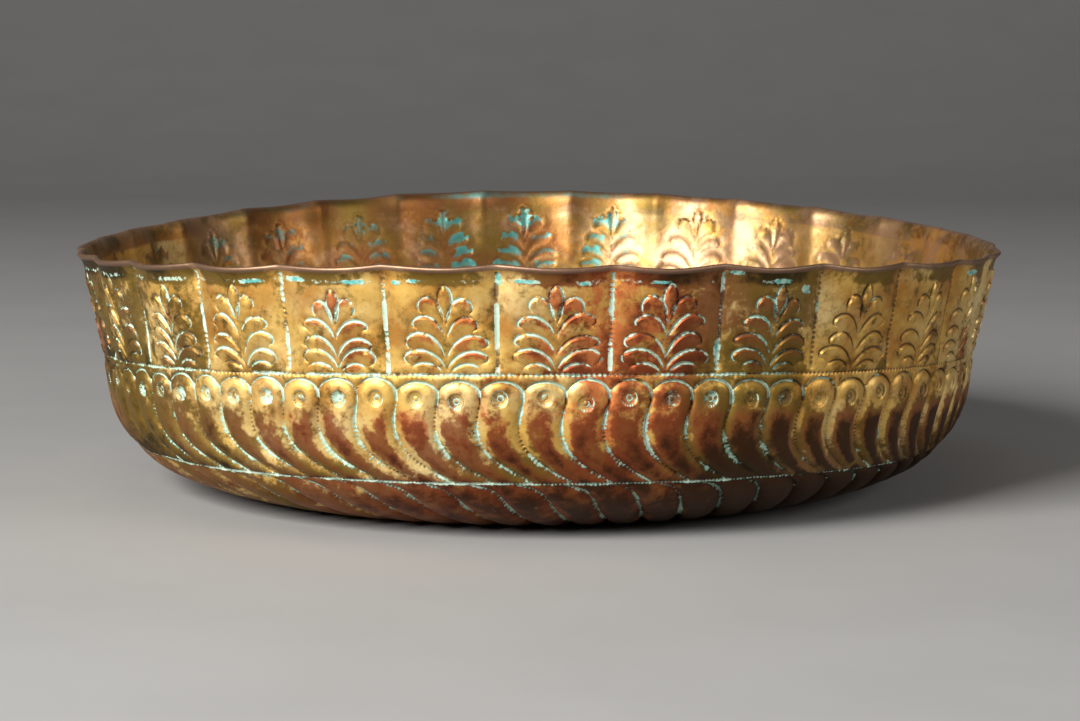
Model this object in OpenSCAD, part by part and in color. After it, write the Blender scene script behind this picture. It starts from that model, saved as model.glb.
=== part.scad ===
// Bath bowl (tas): a round, low bowl raised from one sheet of gilt copper, with a lobed frieze under
// an out-turned lip, a belly of S-shaped gadroons and a whorl running in to the floor.
// A petalled boss cap is riveted over the finger hollow in the middle of the floor.
// Millimetres, +Z up. The origin is the middle of the face that the bowl stands on, and -Y is the front.

/* [Bowl] */
// Diameter over the lip, at the middle of the panels
rim_d = 200; // [180:1:230]
// Height of the lip's outer edge, averaged round the bowl
rim_h = 53.2; // [48:0.2:66]
// Diameter of the flat floor that the bowl stands on
floor_d = 98; // [85:1:110]
// Thickness of the raised sheet
sheet_t = 1; // [0.8:0.1:1.4]
// How much higher the rim stands at the front and back than at the sides
rim_saddle = 5; // [0:0.5:8]
// How much lower the rim stands at the front than at the back
front_dip = 1.1; // [0:0.1:2]

/* [Frieze] */
// Height of the beaded line under the frieze
frieze_z = 31.6; // [26:0.2:36]
// How far the frieze leans out between its beaded line and the foot of the lip
frieze_lean = 3.9; // [1:0.1:8]
// Number of panels round the frieze
panels = 28; // [20:1:34]
// Turn from the front to the nearest line between two panels, in degrees
panel_turn = 8.2; // [0:0.1:12]
// How far the middle of a panel bulges past its edges, at the foot of the lip
panel_bulge = 0.9; // [0.4:0.1:1.5]
// How far the middle of a panel bulges past its edges, at the beaded line
panel_foot_bulge = 0.3; // [0:0.1:1]
// Depth of the beaded lines
bead_depth = 0.4; // [0.2:0.05:0.5]
// Width of the beaded lines
bead_w = 1.2; // [0.8:0.1:2]

/* [Lip] */
// Height of the band that turns outward
lip_h = 5; // [3:0.5:8]
// How far the lip turns out past the wall
lip_out = 2; // [1:0.1:4]
// How late the lip turns out of line with the wall: the power of the way up that it turns by
lip_flare = 5; // [3:1:8]
// Share of the lip's height that is lost where its edge rolls out
lip_roll = 0.12; // [0:0.01:0.16]
// How far the lip is drawn in at the lines between panels
lip_scallop = 1.7; // [0.8:0.1:2.5]
// How far the rim dips at the middle of each panel
lip_dip = 0.6; // [0:0.1:2]

/* [Belly] */
// Number of gadroons round the belly
gadroons = 72; // [50:1:80]
// Turn from the front to the nearest gadroon's middle, in degrees
gadroon_turn = 0.7; // [0:0.1:4]
// Depth from a gadroon's crown to its groove
gadroon_depth = 0.9; // [0.4:0.05:1.1]
// Length of the rounded tongue at a gadroon's top
tongue_h = 3.6; // [2:0.1:6]
// Turn of a gadroon's groove from the frieze down to the whorl, in degrees
gadroon_sweep = 7; // [0:0.5:12]
// Height of the beaded line between the gadroons and the whorl
whorl_z = 11; // [7:0.2:14]
// Number of grooves in the whorl
whorls = 60; // [40:1:72]
// Turn of a whorl's groove from the beaded line in to the floor, in degrees
whorl_sweep = 15; // [0:0.5:20]
// How far inside the frieze's line the floor and the side would meet if the bilge were sharp
bilge_in = 6; // [2:0.2:16]
// How far the belly's line runs down from the frieze before it turns in
belly_drop = 18.4; // [12:0.2:22]
// Lean of the belly where it meets the frieze, in degrees from upright
belly_lean = 6.2; // [0:0.1:12]

/* [Boss] */
// Diameter of the finger hollow under the floor
hollow_d = 34; // [30:0.5:40]
// Depth of the finger hollow
hollow_h = 9; // [7:0.5:12]
// Diameter of the flat crown that the rivet draws together
crown_d = 11; // [10:0.5:13]
// Thickness of the cap's sheet
cap_t = 0.9; // [0.7:0.1:1.2]
// Clearance of the cap's grooves over the hollow's dome
cap_gap = 0.5; // [0.3:0.1:1]
// Width of the flange round the cap's dome
cap_flange = 3; // [2:0.5:5]
// Number of petals on the cap
petals = 16; // [10:1:20]
// Depth of the grooves between petals
petal_depth = 0.7; // [0.3:0.1:1]

/* [Rivet] */
// Diameter of the rivet's shank
shank_d = 3; // [2.4:0.1:3.6]
// Clearance between the shank and its holes, on the radius
shank_gap = 0.05; // [0.02:0.01:0.1]
// Diameter of the rivet's domed head
head_d = 8; // [6.4:0.2:9]
// Height of the rivet's domed head
head_h = 2.4; // [1.6:0.1:3]
// Diameter of the peened tail
tail_d = 5.2; // [4.6:0.2:6]
// Height of the peened tail
tail_h = 1.2; // [0.8:0.1:1.6]
// Diameter of the rove, the washer under the peened tail
rove_d = 8.4; // [7:0.2:9]
// Thickness of the rove
rove_t = 0.8; // [0.5:0.1:1.2]

/* [Hidden] */

front = -90;
rim_r = rim_d / 2;
floor_r = floor_d / 2;
frieze_r = rim_r - lip_out - frieze_lean;
hollow_r = hollow_d / 2;
crown_r = crown_d / 2;
shank_r = shank_d / 2;
hole_r = shank_r + shank_gap;

// Heights of the stack that the rivet holds: rove, hollow's crown, cap, head
crown_top = hollow_h + sheet_t;
head_seat = crown_top + cap_t;
rove_seat = hollow_h - rove_t;

// Points round each kind of ring
panel_steps = 5 * panels;
panel_step = 360 / panel_steps;
hollow_steps = 48;
petal_steps = 4 * petals;
arc_steps = 12;
round_steps = 96;

// Angles that the rings start from: a groove under the frieze, the same groove at the whorl and
// at the floor, and the step round the frieze that lies nearest to the groove
gadroon_start = front + gadroon_turn - 180 / gadroons;
whorl_start = gadroon_start + gadroon_sweep;
floor_start = whorl_start + whorl_sweep;
panel_start = front + panel_turn - panel_step * round((front + panel_turn - gadroon_start) / panel_step);

gilt = "#c08a3e";
boss_gilt = "#c9974a";
copper = "#a8643f";

// Curves of the bowl's outside, each as [radius, height]

function blend(a, b, k) = a + (b - a) * k;

function unit(v) = v / norm(v);

function share(x) = x - floor(x);

// Direction out of the metal, for a line that runs outward and up
function outward(d) = [unit(d)[1], -unit(d)[0]];

frieze_foot = [frieze_r, frieze_z];
lip_foot = [rim_r - lip_out, rim_h - lip_h];
wall_dir = unit(lip_foot - frieze_foot);
wall_out = outward(wall_dir);

// From the floor's edge (t = 0) up to the frieze's line (t = 1)
function belly(t) =
    let (a = [floor_r, 0],
         b = [frieze_r - bilge_in, 0],
         c = frieze_foot - belly_drop * [sin(belly_lean), cos(belly_lean)],
         s = 1 - t)
    s * s * s * a + 3 * s * s * t * b + 3 * s * t * t * c + t * t * t * frieze_foot;

function belly_out(t) = let (step = 0.001) outward(belly(t + step) - belly(t - step));

// Place on the belly's curve that has the height z
function belly_at(z, low = 0, high = 1, tries = 24) =
    let (mid = (low + high) / 2)
    tries == 0 ? mid
        : belly(mid)[1] < z ? belly_at(z, mid, high, tries - 1)
        : belly_at(z, low, mid, tries - 1);

// From the frieze's line (k = 0) up to the foot of the lip (k = 1)
function wall(k) = blend(frieze_foot, lip_foot, k);

// Share of the lip's reach that the wall's own lean gives
lip_lean = min(1, wall_dir[0] / wall_dir[1] * lip_h / lip_out);

// From the foot of the lip (k = 0), in line with the wall, to its edge (k = 1), rolled out almost level
function lip(k) =
    lip_foot + [lip_out * blend(pow(k, lip_flare), k, lip_lean), lip_h * (k - lip_roll * pow(k, 6))];

function lip_normal(k) =
    outward([
        lip_out * blend(lip_flare * pow(k, lip_flare - 1), 1, lip_lean),
        lip_h * (1 - 6 * lip_roll * pow(k, 5))]);

// Rings of points round the bowl

// Rise of the front and back over the sides, which grows from nothing at the floor, less the dip that
// the frieze has at the front
function saddle(angle, z) =
    let (climb = min(1, max(0, z - sheet_t) / (frieze_z - sheet_t)),
         frieze_climb = min(1, max(0, z - frieze_z) / (rim_h - frieze_z)))
    rim_saddle / 2 * cos(2 * (angle - front)) * sin(90 * climb)
        - front_dip * max(0, cos(angle - front)) * frieze_climb;

function polar(angle, point) = [point[0] * cos(angle), point[0] * sin(angle), point[1]];

function on_bowl(angle, point) = polar(angle, point + [0, saddle(angle, point[1])]);

function round_ring(count, point) = [for (i = [0:count - 1]) polar(floor_start + 360 * i / count, point)];

// 0 at the lines between panels, 1 in the middle of each panel
function lobe(angle) = sin(180 * share((angle - front - panel_turn) * panels / 360));

// Ring of the frieze or lip: drawn in by scallop, and raised by dip, at the lines between panels
function panel_ring(point, scallop, dip = 0) =
    [for (i = [0:panel_steps - 1])
        let (angle = panel_start + panel_step * i, edge = 1 - lobe(angle))
        on_bowl(angle, point + [-scallop * edge, dip * (edge - 0.5)])];

function wall_ring(k, depth) =
    panel_ring(wall(k) - wall_out * depth, blend(panel_foot_bulge, panel_bulge, k));

function lip_ring(k, depth) =
    panel_ring(lip(k) - lip_normal(k) * depth, blend(panel_bulge, lip_scallop, k), lip_dip * k);

whorl_t = belly_at(whorl_z);
tongue_t = belly_at(frieze_z - tongue_h);

// Relief of the grooves, which runs out to nothing at the floor's edge and above the tongues
fade_in = 0.6;
function relief(t) =
    gadroon_depth * min(1, t / (whorl_t * fade_in)) * min(1, max(0, 1 - t) / (1 - tongue_t));

// Ring of the belly. Shares are where its points lie from groove to groove, and rise is the relief there
function grooved_ring(count, start, t, shares, rise, depth) =
    [for (i = [0:count - 1], j = [0:len(shares) - 1])
        let (angle = start + 360 * (i + shares[j]) / count)
        on_bowl(angle, belly(t) + belly_out(t) * (relief(t) * (rise[j] - 0.5) - depth))];

// A gadroon's groove is upright under the frieze, then swept until it runs along the whorl's line
function gadroon_ring(t, shares, rise, depth) =
    let (turn = gadroon_sweep * pow((1 - t) / (1 - whorl_t), 3))
    grooved_ring(gadroons, gadroon_start + turn, t, shares, rise, depth);

// A whorl's groove leaves that line along it, and turns in towards the floor
function whorl_ring(t, shares, rise, depth) =
    let (turn = whorl_sweep * (1 - pow(t / whorl_t, 2)))
    grooved_ring(whorls, whorl_start + turn, t, shares, rise, depth);

outer_shares = [0, 0.3, 0.7];
outer_rise = [0, 1, 1];
inner_shares = [0, 0.5];
inner_rise = [0, 1];

function outer_gadroons(t, depth = 0) = gadroon_ring(t, outer_shares, outer_rise, depth);

function outer_whorl(t) = whorl_ring(t, outer_shares, outer_rise, 0);

function inner_gadroons(t) = gadroon_ring(t, inner_shares, inner_rise, sheet_t);

function inner_whorl(t) = whorl_ring(t, inner_shares, inner_rise, sheet_t);

function floor_ring(depth) = whorl_ring(0, inner_shares, inner_rise, depth);

// Solid from rings of points

function first_of(rings, k) = k == 0 ? 0 : first_of(rings, k - 1) + len(rings[k - 1]);

// Triangles between ring a and the next ring b, which may have another number of points
function band(a, na, b, nb) =
    na >= nb
        ? let (facing = function (i) floor((i + 0.5) * nb / na + 0.5))
            [for (i = [0:na - 1])
                let (here = facing(i), before = facing(i - 1))
                each concat(
                    [[a + i, a + (i + 1) % na, b + (here % nb)]],
                    here > before ? [[a + i, b + (here % nb), b + ((before + nb) % nb)]] : [])]
        : [for (f = band(b, nb, a, na)) [f[0], f[2], f[1]]];

// Closed skin over a row of rings, with a point at each end
module ringed(rings, start, end) {
    last = len(rings) - 1;
    total = first_of(rings, last + 1);
    closing = first_of(rings, last);
    n0 = len(rings[0]);
    n1 = len(rings[last]);
    faces = concat(
        [for (k = [0:last - 1])
            each band(first_of(rings, k), len(rings[k]), first_of(rings, k + 1), len(rings[k + 1]))],
        [for (i = [0:n0 - 1]) [total, (i + 1) % n0, i]],
        [for (i = [0:n1 - 1]) [total + 1, closing + i, closing + (i + 1) % n1]]);
    polyhedron(concat([for (ring = rings) each ring], [start, end]), faces, convexity = 10);
}

// Hole for the rivet's shank through a sheet
module shank_hole(z, thickness) {
    translate([0, 0, z - thickness]) cylinder(r = hole_r, h = 3 * thickness, $fn = round_steps);
}

// Bowl shell

// Underside of the finger hollow, from its flat crown (k = 0) to its mouth (k = 1)
function hollow(k) = [blend(crown_r, hollow_r, sin(90 * k)), hollow_h * cos(90 * k)];

function over_hollow(k, gap) =
    hollow(k) - gap * outward([(hollow_r - crown_r) * cos(90 * k), -hollow_h * sin(90 * k)]);

dome_rows = [0, 0.35, 0.7];
whorl_rows = [0.36, 0.66, 0.86];
belly_rows = [0.2, 0.42, 0.64, 0.84];
whorl_bead_t = bead_w / 2 / norm(belly(whorl_t + 0.01) - belly(whorl_t)) * 0.01;
frieze_bead_t = bead_w / 2 / norm(belly(1) - belly(0.99)) * 0.01;
frieze_bead_k = bead_w / 2 / norm(lip_foot - frieze_foot);

module bowl_shell() {
    outside = concat(
        [for (k = concat(dome_rows, [1])) round_ring(hollow_steps, hollow(k))],
        [floor_ring(0)],
        [for (k = whorl_rows) outer_whorl(whorl_t * k)],
        [outer_whorl(whorl_t - whorl_bead_t), outer_gadroons(whorl_t, bead_depth),
            outer_gadroons(whorl_t + whorl_bead_t)],
        [for (k = belly_rows) outer_gadroons(blend(whorl_t, 1, k))],
        [outer_gadroons(1 - frieze_bead_t)],
        [wall_ring(0, bead_depth), wall_ring(frieze_bead_k, 0), wall_ring(1, 0)],
        [for (k = [0.5, 0.75, 0.9, 1]) lip_ring(k, 0)]);
    inside = concat(
        [for (k = [1, 0.85, 0.6, 0]) lip_ring(k, sheet_t)],
        [wall_ring(0, sheet_t)],
        [for (k = [0.84, 0.5, 0.2]) inner_gadroons(blend(whorl_t, 1, k))],
        [for (k = [1, 0.84, 0.62, 0.36]) inner_whorl(whorl_t * k)],
        [floor_ring(sheet_t)],
        [round_ring(hollow_steps, [hollow_r + sheet_t, sheet_t])],
        [for (i = [len(dome_rows) - 1:-1:0]) round_ring(hollow_steps, over_hollow(dome_rows[i], sheet_t))]);
    color(gilt) difference() {
        ringed(concat(outside, inside), [0, 0, hollow_h], [0, 0, crown_top]);
        shank_hole(hollow_h, sheet_t);
    }
}

// Boss cap, rivet and rove

// The cap lies on the hollow's crown, clears its dome and stands on the floor round it
function cap_under(k) = over_hollow(k, sheet_t + (petal_depth + cap_gap) * sqrt(sin(90 * k)));

function cap_top(k) = over_hollow(k, sheet_t + (petal_depth + cap_gap) * sqrt(sin(90 * k)) + cap_t);

cap_foot_r = hollow_r + sheet_t + petal_depth + cap_gap;
cap_r = cap_foot_r + cap_t + cap_flange;

// 0 at the grooves between petals, 1 in the middle of each petal
function petal(turn) = sin(180 * share(turn * petals / 360));

function petal_ring(point, depth) =
    [for (i = [0:petal_steps - 1])
        let (turn = 360 * i / petal_steps)
        polar(floor_start + turn, point - [0, depth * (1 - petal(turn))])];

module boss_cap() {
    rows = [0.3, 0.55, 0.78];
    depths = petal_depth * [0.5, 1, 0.8];
    under = concat(
        [round_ring(petal_steps, cap_under(0))],
        [for (i = [0:len(rows) - 1]) petal_ring(cap_under(rows[i]), depths[i])],
        [round_ring(petal_steps, [cap_foot_r, sheet_t]), round_ring(petal_steps, [cap_r, sheet_t])]);
    top = concat(
        [round_ring(petal_steps, [cap_r, sheet_t + cap_t]),
            round_ring(petal_steps, [cap_foot_r + cap_t, sheet_t + cap_t])],
        [for (i = [len(rows) - 1:-1:0]) petal_ring(cap_top(rows[i]), depths[i])],
        [round_ring(petal_steps, cap_top(0))]);
    color(boss_gilt) difference() {
        ringed(concat(under, top), [0, 0, crown_top], [0, 0, head_seat]);
        shank_hole(crown_top, cap_t);
    }
}

// Half of a low dome, as points from its edge to its middle
function dome_edge(r, z, h) =
    [for (i = [0:arc_steps]) let (a = 90 * i / arc_steps) [r * cos(a), z + h * sin(a)]];

module boss_rivet() {
    tail = dome_edge(tail_d / 2, rove_seat, -tail_h);
    color(copper) rotate_extrude($fn = round_steps)
        polygon(concat(
            dome_edge(head_d / 2, head_seat, head_h),
            [for (i = [arc_steps:-1:0]) tail[i]],
            [[shank_r, rove_seat], [shank_r, head_seat]]));
}

module rivet_rove() {
    color(copper) difference() {
        translate([0, 0, rove_seat]) cylinder(d = rove_d, h = rove_t, $fn = round_steps);
        shank_hole(rove_seat, rove_t);
    }
}

bowl_shell();
boss_cap();
boss_rivet();
rivet_rove();
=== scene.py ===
# %% [markdown]
# # A gilt copper bath bowl
# A bath bowl of this kind is hammered up from one sheet of copper, chased with punches while it rests on
# pitch, and gilded. Years of use then wear the gilding off the high places and leave green salts in the
# lines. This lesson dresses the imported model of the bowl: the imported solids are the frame, and every
# piece below is made in the same place and at the same size, in metres.

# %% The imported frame
import math
from collections import namedtuple

import bpy
import numpy as np
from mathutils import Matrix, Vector
from mathutils.geometry import delaunay_2d_cdt
from mathutils.kdtree import KDTree


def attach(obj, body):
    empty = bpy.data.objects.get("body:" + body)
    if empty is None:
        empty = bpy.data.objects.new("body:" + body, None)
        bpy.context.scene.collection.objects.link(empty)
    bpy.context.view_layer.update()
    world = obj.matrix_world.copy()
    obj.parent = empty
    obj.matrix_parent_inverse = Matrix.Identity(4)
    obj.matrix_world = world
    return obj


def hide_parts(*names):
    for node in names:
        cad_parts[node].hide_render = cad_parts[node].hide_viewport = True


MM = 0.001
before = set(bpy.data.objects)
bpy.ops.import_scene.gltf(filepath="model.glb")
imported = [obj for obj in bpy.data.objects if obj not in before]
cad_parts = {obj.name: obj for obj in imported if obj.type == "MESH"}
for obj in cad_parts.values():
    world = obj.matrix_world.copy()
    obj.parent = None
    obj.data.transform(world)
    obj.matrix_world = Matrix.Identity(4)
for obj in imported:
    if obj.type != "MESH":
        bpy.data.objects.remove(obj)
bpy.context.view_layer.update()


# %% [markdown]
# ## Camera
# The photograph was taken from a little above the rim, with a long lens. The distance, the angle and the
# lens were found by laying the bowl's outline over the photograph, so the camera is placed by those three
# numbers: back from a point on the bowl's axis, and up by the angle.

# %% Camera
PHOTO_W = 1080
FOCAL_IN_PIXELS = 2974
AXIS_IN_PIXELS = 538.5
SENSOR = 36.0
VIEW_DOWN = math.radians(7.0)
VIEW_FROM = 650 * MM
AIM = Vector((0, 0, 25.4 * MM))

back = Vector((0, -math.cos(VIEW_DOWN), math.sin(VIEW_DOWN)))
bpy.ops.object.select_all(action="DESELECT")
bpy.ops.object.camera_add(location=AIM + VIEW_FROM * back, rotation=(math.pi / 2 - VIEW_DOWN, 0, 0))
camera = bpy.context.object
camera.data.sensor_width = SENSOR
camera.data.lens = SENSOR * FOCAL_IN_PIXELS / PHOTO_W
camera.data.shift_x = (PHOTO_W / 2 - AXIS_IN_PIXELS) / PHOTO_W
bpy.context.scene.camera = camera
print("lens in millimetres:", round(camera.data.lens, 1))


# %% [markdown]
# ## Studio
# The bowl stands on a pale sweep: a floor that turns up into a wall far behind it, so that no horizon
# shows. It is a plane whose back edge is extruded upward and rounded with a bevel. The light is soft: a
# large lamp at the front left, a weaker one at the right and a faint one above.

# %% Sweep
SWEEP = 5.0
SWEEP_BACK = 1.8
SWEEP_BEND = 0.9
SWEEP_SEGMENTS = 24

bpy.ops.object.select_all(action="DESELECT")
bpy.ops.mesh.primitive_plane_add(size=SWEEP, location=(0, SWEEP_BACK - SWEEP / 2, 0))
sweep = bpy.context.object
sweep.name = "studio_sweep"
bpy.ops.object.transform_apply(location=True)
bpy.ops.object.mode_set(mode="EDIT")
bpy.ops.mesh.select_all(action="DESELECT")
bpy.ops.object.mode_set(mode="OBJECT")
for edge in sweep.data.edges:
    edge.select = all(sweep.data.vertices[v].co.y > SWEEP_BACK - MM for v in edge.vertices)
bpy.ops.object.mode_set(mode="EDIT")
bpy.ops.mesh.extrude_region_move(TRANSFORM_OT_translate={"value": (0, 0, SWEEP)})
bpy.ops.object.mode_set(mode="OBJECT")
for edge in sweep.data.edges:
    ends = [sweep.data.vertices[v].co for v in edge.vertices]
    edge.select = all(p.y > SWEEP_BACK - MM and p.z < MM for p in ends)
bpy.ops.object.mode_set(mode="EDIT")
bpy.ops.mesh.bevel(offset=SWEEP_BEND, segments=SWEEP_SEGMENTS, affect="EDGES")
bpy.ops.object.mode_set(mode="OBJECT")
bpy.ops.object.shade_smooth()
print("sweep faces:", len(sweep.data.polygons))


# %% Lamps
Lamp = namedtuple("Lamp", "name place size power colour")
BOWL_MIDDLE = Vector((0, 0, 0.03))
ROOM_TINT = (1, 0.97, 0.93, 1)
ROOM_LIGHT = 0.06
LAMPS = (
    Lamp("key_lamp", place=(-0.64, -0.76, 0.58), size=0.55, power=32, colour=(1, 0.98, 0.94)),
    Lamp("side_lamp", place=(0.9, -0.5, 0.45), size=0.5, power=4.5, colour=(1, 0.96, 0.9)),
    Lamp("top_lamp", place=(-0.1, -0.2, 1.1), size=0.5, power=1, colour=(1, 1, 1)))

for lamp in LAMPS:
    direction = BOWL_MIDDLE - Vector(lamp.place)
    bpy.ops.object.light_add(
        type="AREA", location=lamp.place, rotation=direction.to_track_quat("-Z", "Y").to_euler())
    light = bpy.context.object
    light.name = lamp.name
    light.data.size = lamp.size
    light.data.energy = lamp.power
    light.data.color = lamp.colour

scene = bpy.context.scene
scene.world = scene.world or bpy.data.worlds.new("studio_world")
scene.world.use_nodes = True
room = scene.world.node_tree.nodes["Background"]
room.inputs["Color"].default_value = ROOM_TINT
room.inputs["Strength"].default_value = ROOM_LIGHT
scene.view_settings.view_transform = "Standard"
print("lamps:", [o.name for o in bpy.data.objects if o.type == "LIGHT"])


# %% [markdown]
# ## The bowl's own sizes
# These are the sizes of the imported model, in millimetres and degrees, and the same curves: a belly from the
# floor's edge up to the beaded line, a straight frieze and a lip that turns out. The drawing on each skin
# is made flat and then wrapped on these curves, as a chaser lays out work on a band of paper.

# %% Sizes
FRONT = -90.0
RIM_R = 100.0
RIM_H = 53.2
FLOOR_R = 49.0
SHEET = 1.0
RIM_SADDLE = 5.0
FRONT_DIP = 1.1
FRIEZE_Z = 31.6
FRIEZE_LEAN = 3.9
PANELS = 28
PANEL_TURN = 8.2
PANEL_BULGE = 0.9
FOOT_BULGE = 0.3
LIP_H = 5.0
LIP_OUT = 2.0
LIP_SCALLOP = 1.7
LIP_DIP = 0.6
LIP_ROLL = 0.12
LIP_ROLL_POWER = 6
LIP_FLARE = 5
GADROONS = 72
GADROON_DEPTH = 0.9
WHORL_Z = 11.0
WHORLS = 60
WHORL_SWEEP = 15.0
WHORL_LEAVE = 4.2
WHORL_BEND = 1.6
BILGE_IN = 6.0
BELLY_DROP = 18.4
BELLY_LEAN = 6.2
HOLLOW_R = 17.0
HOLLOW_H = 9.0
CROWN_R = 5.5
HOLE_R = 1.55

FRIEZE_R = RIM_R - LIP_OUT - FRIEZE_LEAN
LIP_FOOT = np.array([RIM_R - LIP_OUT, RIM_H - LIP_H])
FRIEZE_FOOT = np.array([FRIEZE_R, FRIEZE_Z])
# Share of the lip's reach that the wall's own lean gives
LIP_LEAN = FRIEZE_LEAN / (RIM_H - LIP_H - FRIEZE_Z) * LIP_H / LIP_OUT
# The strips start at the back, on a line between two panels that is also a groove between two gadroons
START = FRONT + PANEL_TURN + 180
# Length of every strip, measured round the beaded line under the frieze
ROUND = 2 * math.pi * FRIEZE_R
PANEL_W = ROUND / PANELS
GADROON_W = ROUND / GADROONS
WHORL_W = ROUND / WHORLS
print("widths of panel, gadroon and whorl:", np.round([PANEL_W, GADROON_W, WHORL_W], 2))


# %% [markdown]
# ## Curves of the wall
# Each curve is a function of the distance along it, because the drawings are measured in millimetres on the
# metal. The belly is a cubic curve, so its distances come from a fine table of steps that is worked out
# here once.

# %% Curves
def unit(vectors):
    return vectors / np.linalg.norm(vectors, axis=-1, keepdims=True)


def outward(steps):
    """Direction out of the metal, for steps that run outward and up as (radius, height)."""
    return unit(np.stack([steps[..., 1], -steps[..., 0]], -1))


def bezier(a, b, c, d, share):
    """Points on a cubic curve at the given shares of it."""
    s = np.asarray(share)[..., None]
    a, b, c, d = (np.asarray(p, float) for p in (a, b, c, d))
    return a * (1 - s) ** 3 + 3 * b * s * (1 - s) ** 2 + 3 * c * s * s * (1 - s) + d * s ** 3


def run_along(points):
    """Distance of each point from the first, along the row."""
    return np.concatenate([[0], np.cumsum(np.linalg.norm(np.diff(points, axis=0), axis=1))])


FINE_STEPS = 4000
FINE = np.linspace(0, 1, FINE_STEPS + 1)
top_lean = math.radians(BELLY_LEAN)
BELLY_TOP_WAY = np.array([math.sin(top_lean), math.cos(top_lean)])
BELLY_CURVE = bezier(
    (FLOOR_R, 0), (FRIEZE_R - BILGE_IN, 0), FRIEZE_FOOT - BELLY_DROP * BELLY_TOP_WAY, FRIEZE_FOOT, FINE)
BELLY_RUN = run_along(BELLY_CURVE)
WHORL_SHARE = np.interp(WHORL_Z, BELLY_CURVE[:, 1], FINE)
WHORL_LEN = np.interp(WHORL_SHARE, FINE, BELLY_RUN)
BELLY_LEN = BELLY_RUN[-1] - WHORL_LEN
WALL_LEN = np.linalg.norm(LIP_FOOT - FRIEZE_FOOT)


def lip_rise(share):
    """Steps from the lip's foot: in line with the wall at first, and rolled out almost level at the edge."""
    reach = LIP_LEAN * share + (1 - LIP_LEAN) * share ** LIP_FLARE
    return np.stack([LIP_OUT * reach, LIP_H * (share - LIP_ROLL * share ** LIP_ROLL_POWER)], -1)


LIP_RUN = run_along(lip_rise(FINE))
LIP_OUTS = outward(np.gradient(lip_rise(FINE), axis=0))
FRIEZE_LEN = WALL_LEN + LIP_RUN[-1]
print("lengths of whorl, belly and frieze:", np.round([WHORL_LEN, BELLY_LEN, FRIEZE_LEN], 2))


# %% [markdown]
# ## Wrapping a flat drawing on the bowl
# A raised bowl is never quite true: the rim stands higher at the front and back, each panel's lip is bent
# by a different amount, and the hammer leaves shallow dents. These are part of the wrapping, so that both
# skins of the sheet share them. The dents go inward nearly everywhere, so the bowl keeps its outer size.

# %% Wrapping
HAND_SEED = 7
HAND = np.random.default_rng(HAND_SEED)
DENT_DEPTH = 0.22
DENT_WAVES = 14
DENTS_LEAST = 3
DENTS_MOST = 34
DENT_RISE = 0.35
DENT_FADE = 8.0
BEND_LEAST = 0.72
SEAM_BLEND = 2.0
dent_turns = HAND.integers(DENTS_LEAST, DENTS_MOST, DENT_WAVES)
dent_rises = HAND.uniform(-DENT_RISE, DENT_RISE, DENT_WAVES)
dent_starts = HAND.uniform(0, 2 * math.pi, DENT_WAVES)
panel_bends = HAND.uniform(BEND_LEAST, 1.0, PANELS)
WALL_OUT = outward(LIP_FOOT - FRIEZE_FOOT)
LINE_OUT = unit(WALL_OUT + outward(BELLY_TOP_WAY))


def eased(x):
    """0 below 0, 1 above 1, and smooth between."""
    x = np.clip(x, 0, 1)
    return x * x * (3 - 2 * x)


def dents(turn, height):
    """How far the hammer marks lie under the true surface."""
    waves = np.cos(np.radians(turn)[:, None] * dent_turns + height[:, None] * dent_rises + dent_starts)
    return DENT_DEPTH * (1 + waves.mean(1) * 2) * eased(height / DENT_FADE)


def wrapped(turn, profile, out, depth):
    """Places in metres, for a point of the profile at each turn and a depth under it along out."""
    radius, height = (profile - out * (depth + dents(turn, profile[:, 1]))[:, None]).T
    climb = np.clip((height - SHEET) / (FRIEZE_Z - SHEET), 0, 1)
    sway = RIM_SADDLE / 2 * np.cos(2 * np.radians(turn - FRONT)) * np.sin(math.pi / 2 * climb)
    frieze_climb = np.clip((height - FRIEZE_Z) / (RIM_H - FRIEZE_Z), 0, 1)
    sway -= FRONT_DIP * frieze_climb * np.clip(np.cos(np.radians(turn - FRONT)), 0, 1)
    around = np.radians(turn)
    return MM * np.stack([radius * np.cos(around), radius * np.sin(around), height + sway], 1)


def turn_of(flat):
    return START + 360 * flat[:, 0] / ROUND


def on_frieze(flat, depth):
    """Wraps (along, up) on the frieze and lip, from the beaded line at up = 0."""
    up = flat[:, 1]
    wall = np.clip(up / WALL_LEN, 0, 1)
    lip = np.interp(up - WALL_LEN, LIP_RUN, FINE)
    panel = flat[:, 0] / PANEL_W
    lobe = np.sin(math.pi * (panel % 1)) * panel_bends[np.floor(panel).astype(int) % PANELS]
    scallop = FOOT_BULGE * eased(up / SEAM_BLEND) + (PANEL_BULGE - FOOT_BULGE) * wall
    scallop += (LIP_SCALLOP - PANEL_BULGE) * lip
    profile = FRIEZE_FOOT + (LIP_FOOT - FRIEZE_FOOT) * wall[:, None]
    profile += lip_rise(lip)
    profile += np.stack([-scallop * (1 - lobe), LIP_DIP * lip * (0.5 - lobe)], 1)
    lip_out = LIP_OUTS[np.rint(lip * FINE_STEPS).astype(int)]
    near_line = eased(up / SEAM_BLEND)[:, None]
    near_lip = eased((up - WALL_LEN) / SEAM_BLEND + 0.5)[:, None]
    out = unit(LINE_OUT * (1 - near_line) + near_line * (WALL_OUT * (1 - near_lip) + lip_out * near_lip))
    return wrapped(turn_of(flat), profile, out, depth)


def belly_profile(run):
    """Points of the belly's curve, and the directions out of it, by distance from the floor's edge."""
    share = np.interp(run, BELLY_RUN, FINE)
    row = np.clip((share * FINE_STEPS).astype(int), 1, FINE_STEPS - 1)
    point = np.stack([np.interp(run, BELLY_RUN, BELLY_CURVE[:, i]) for i in (0, 1)], 1)
    return point, outward(BELLY_CURVE[row + 1] - BELLY_CURVE[row - 1])


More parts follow.
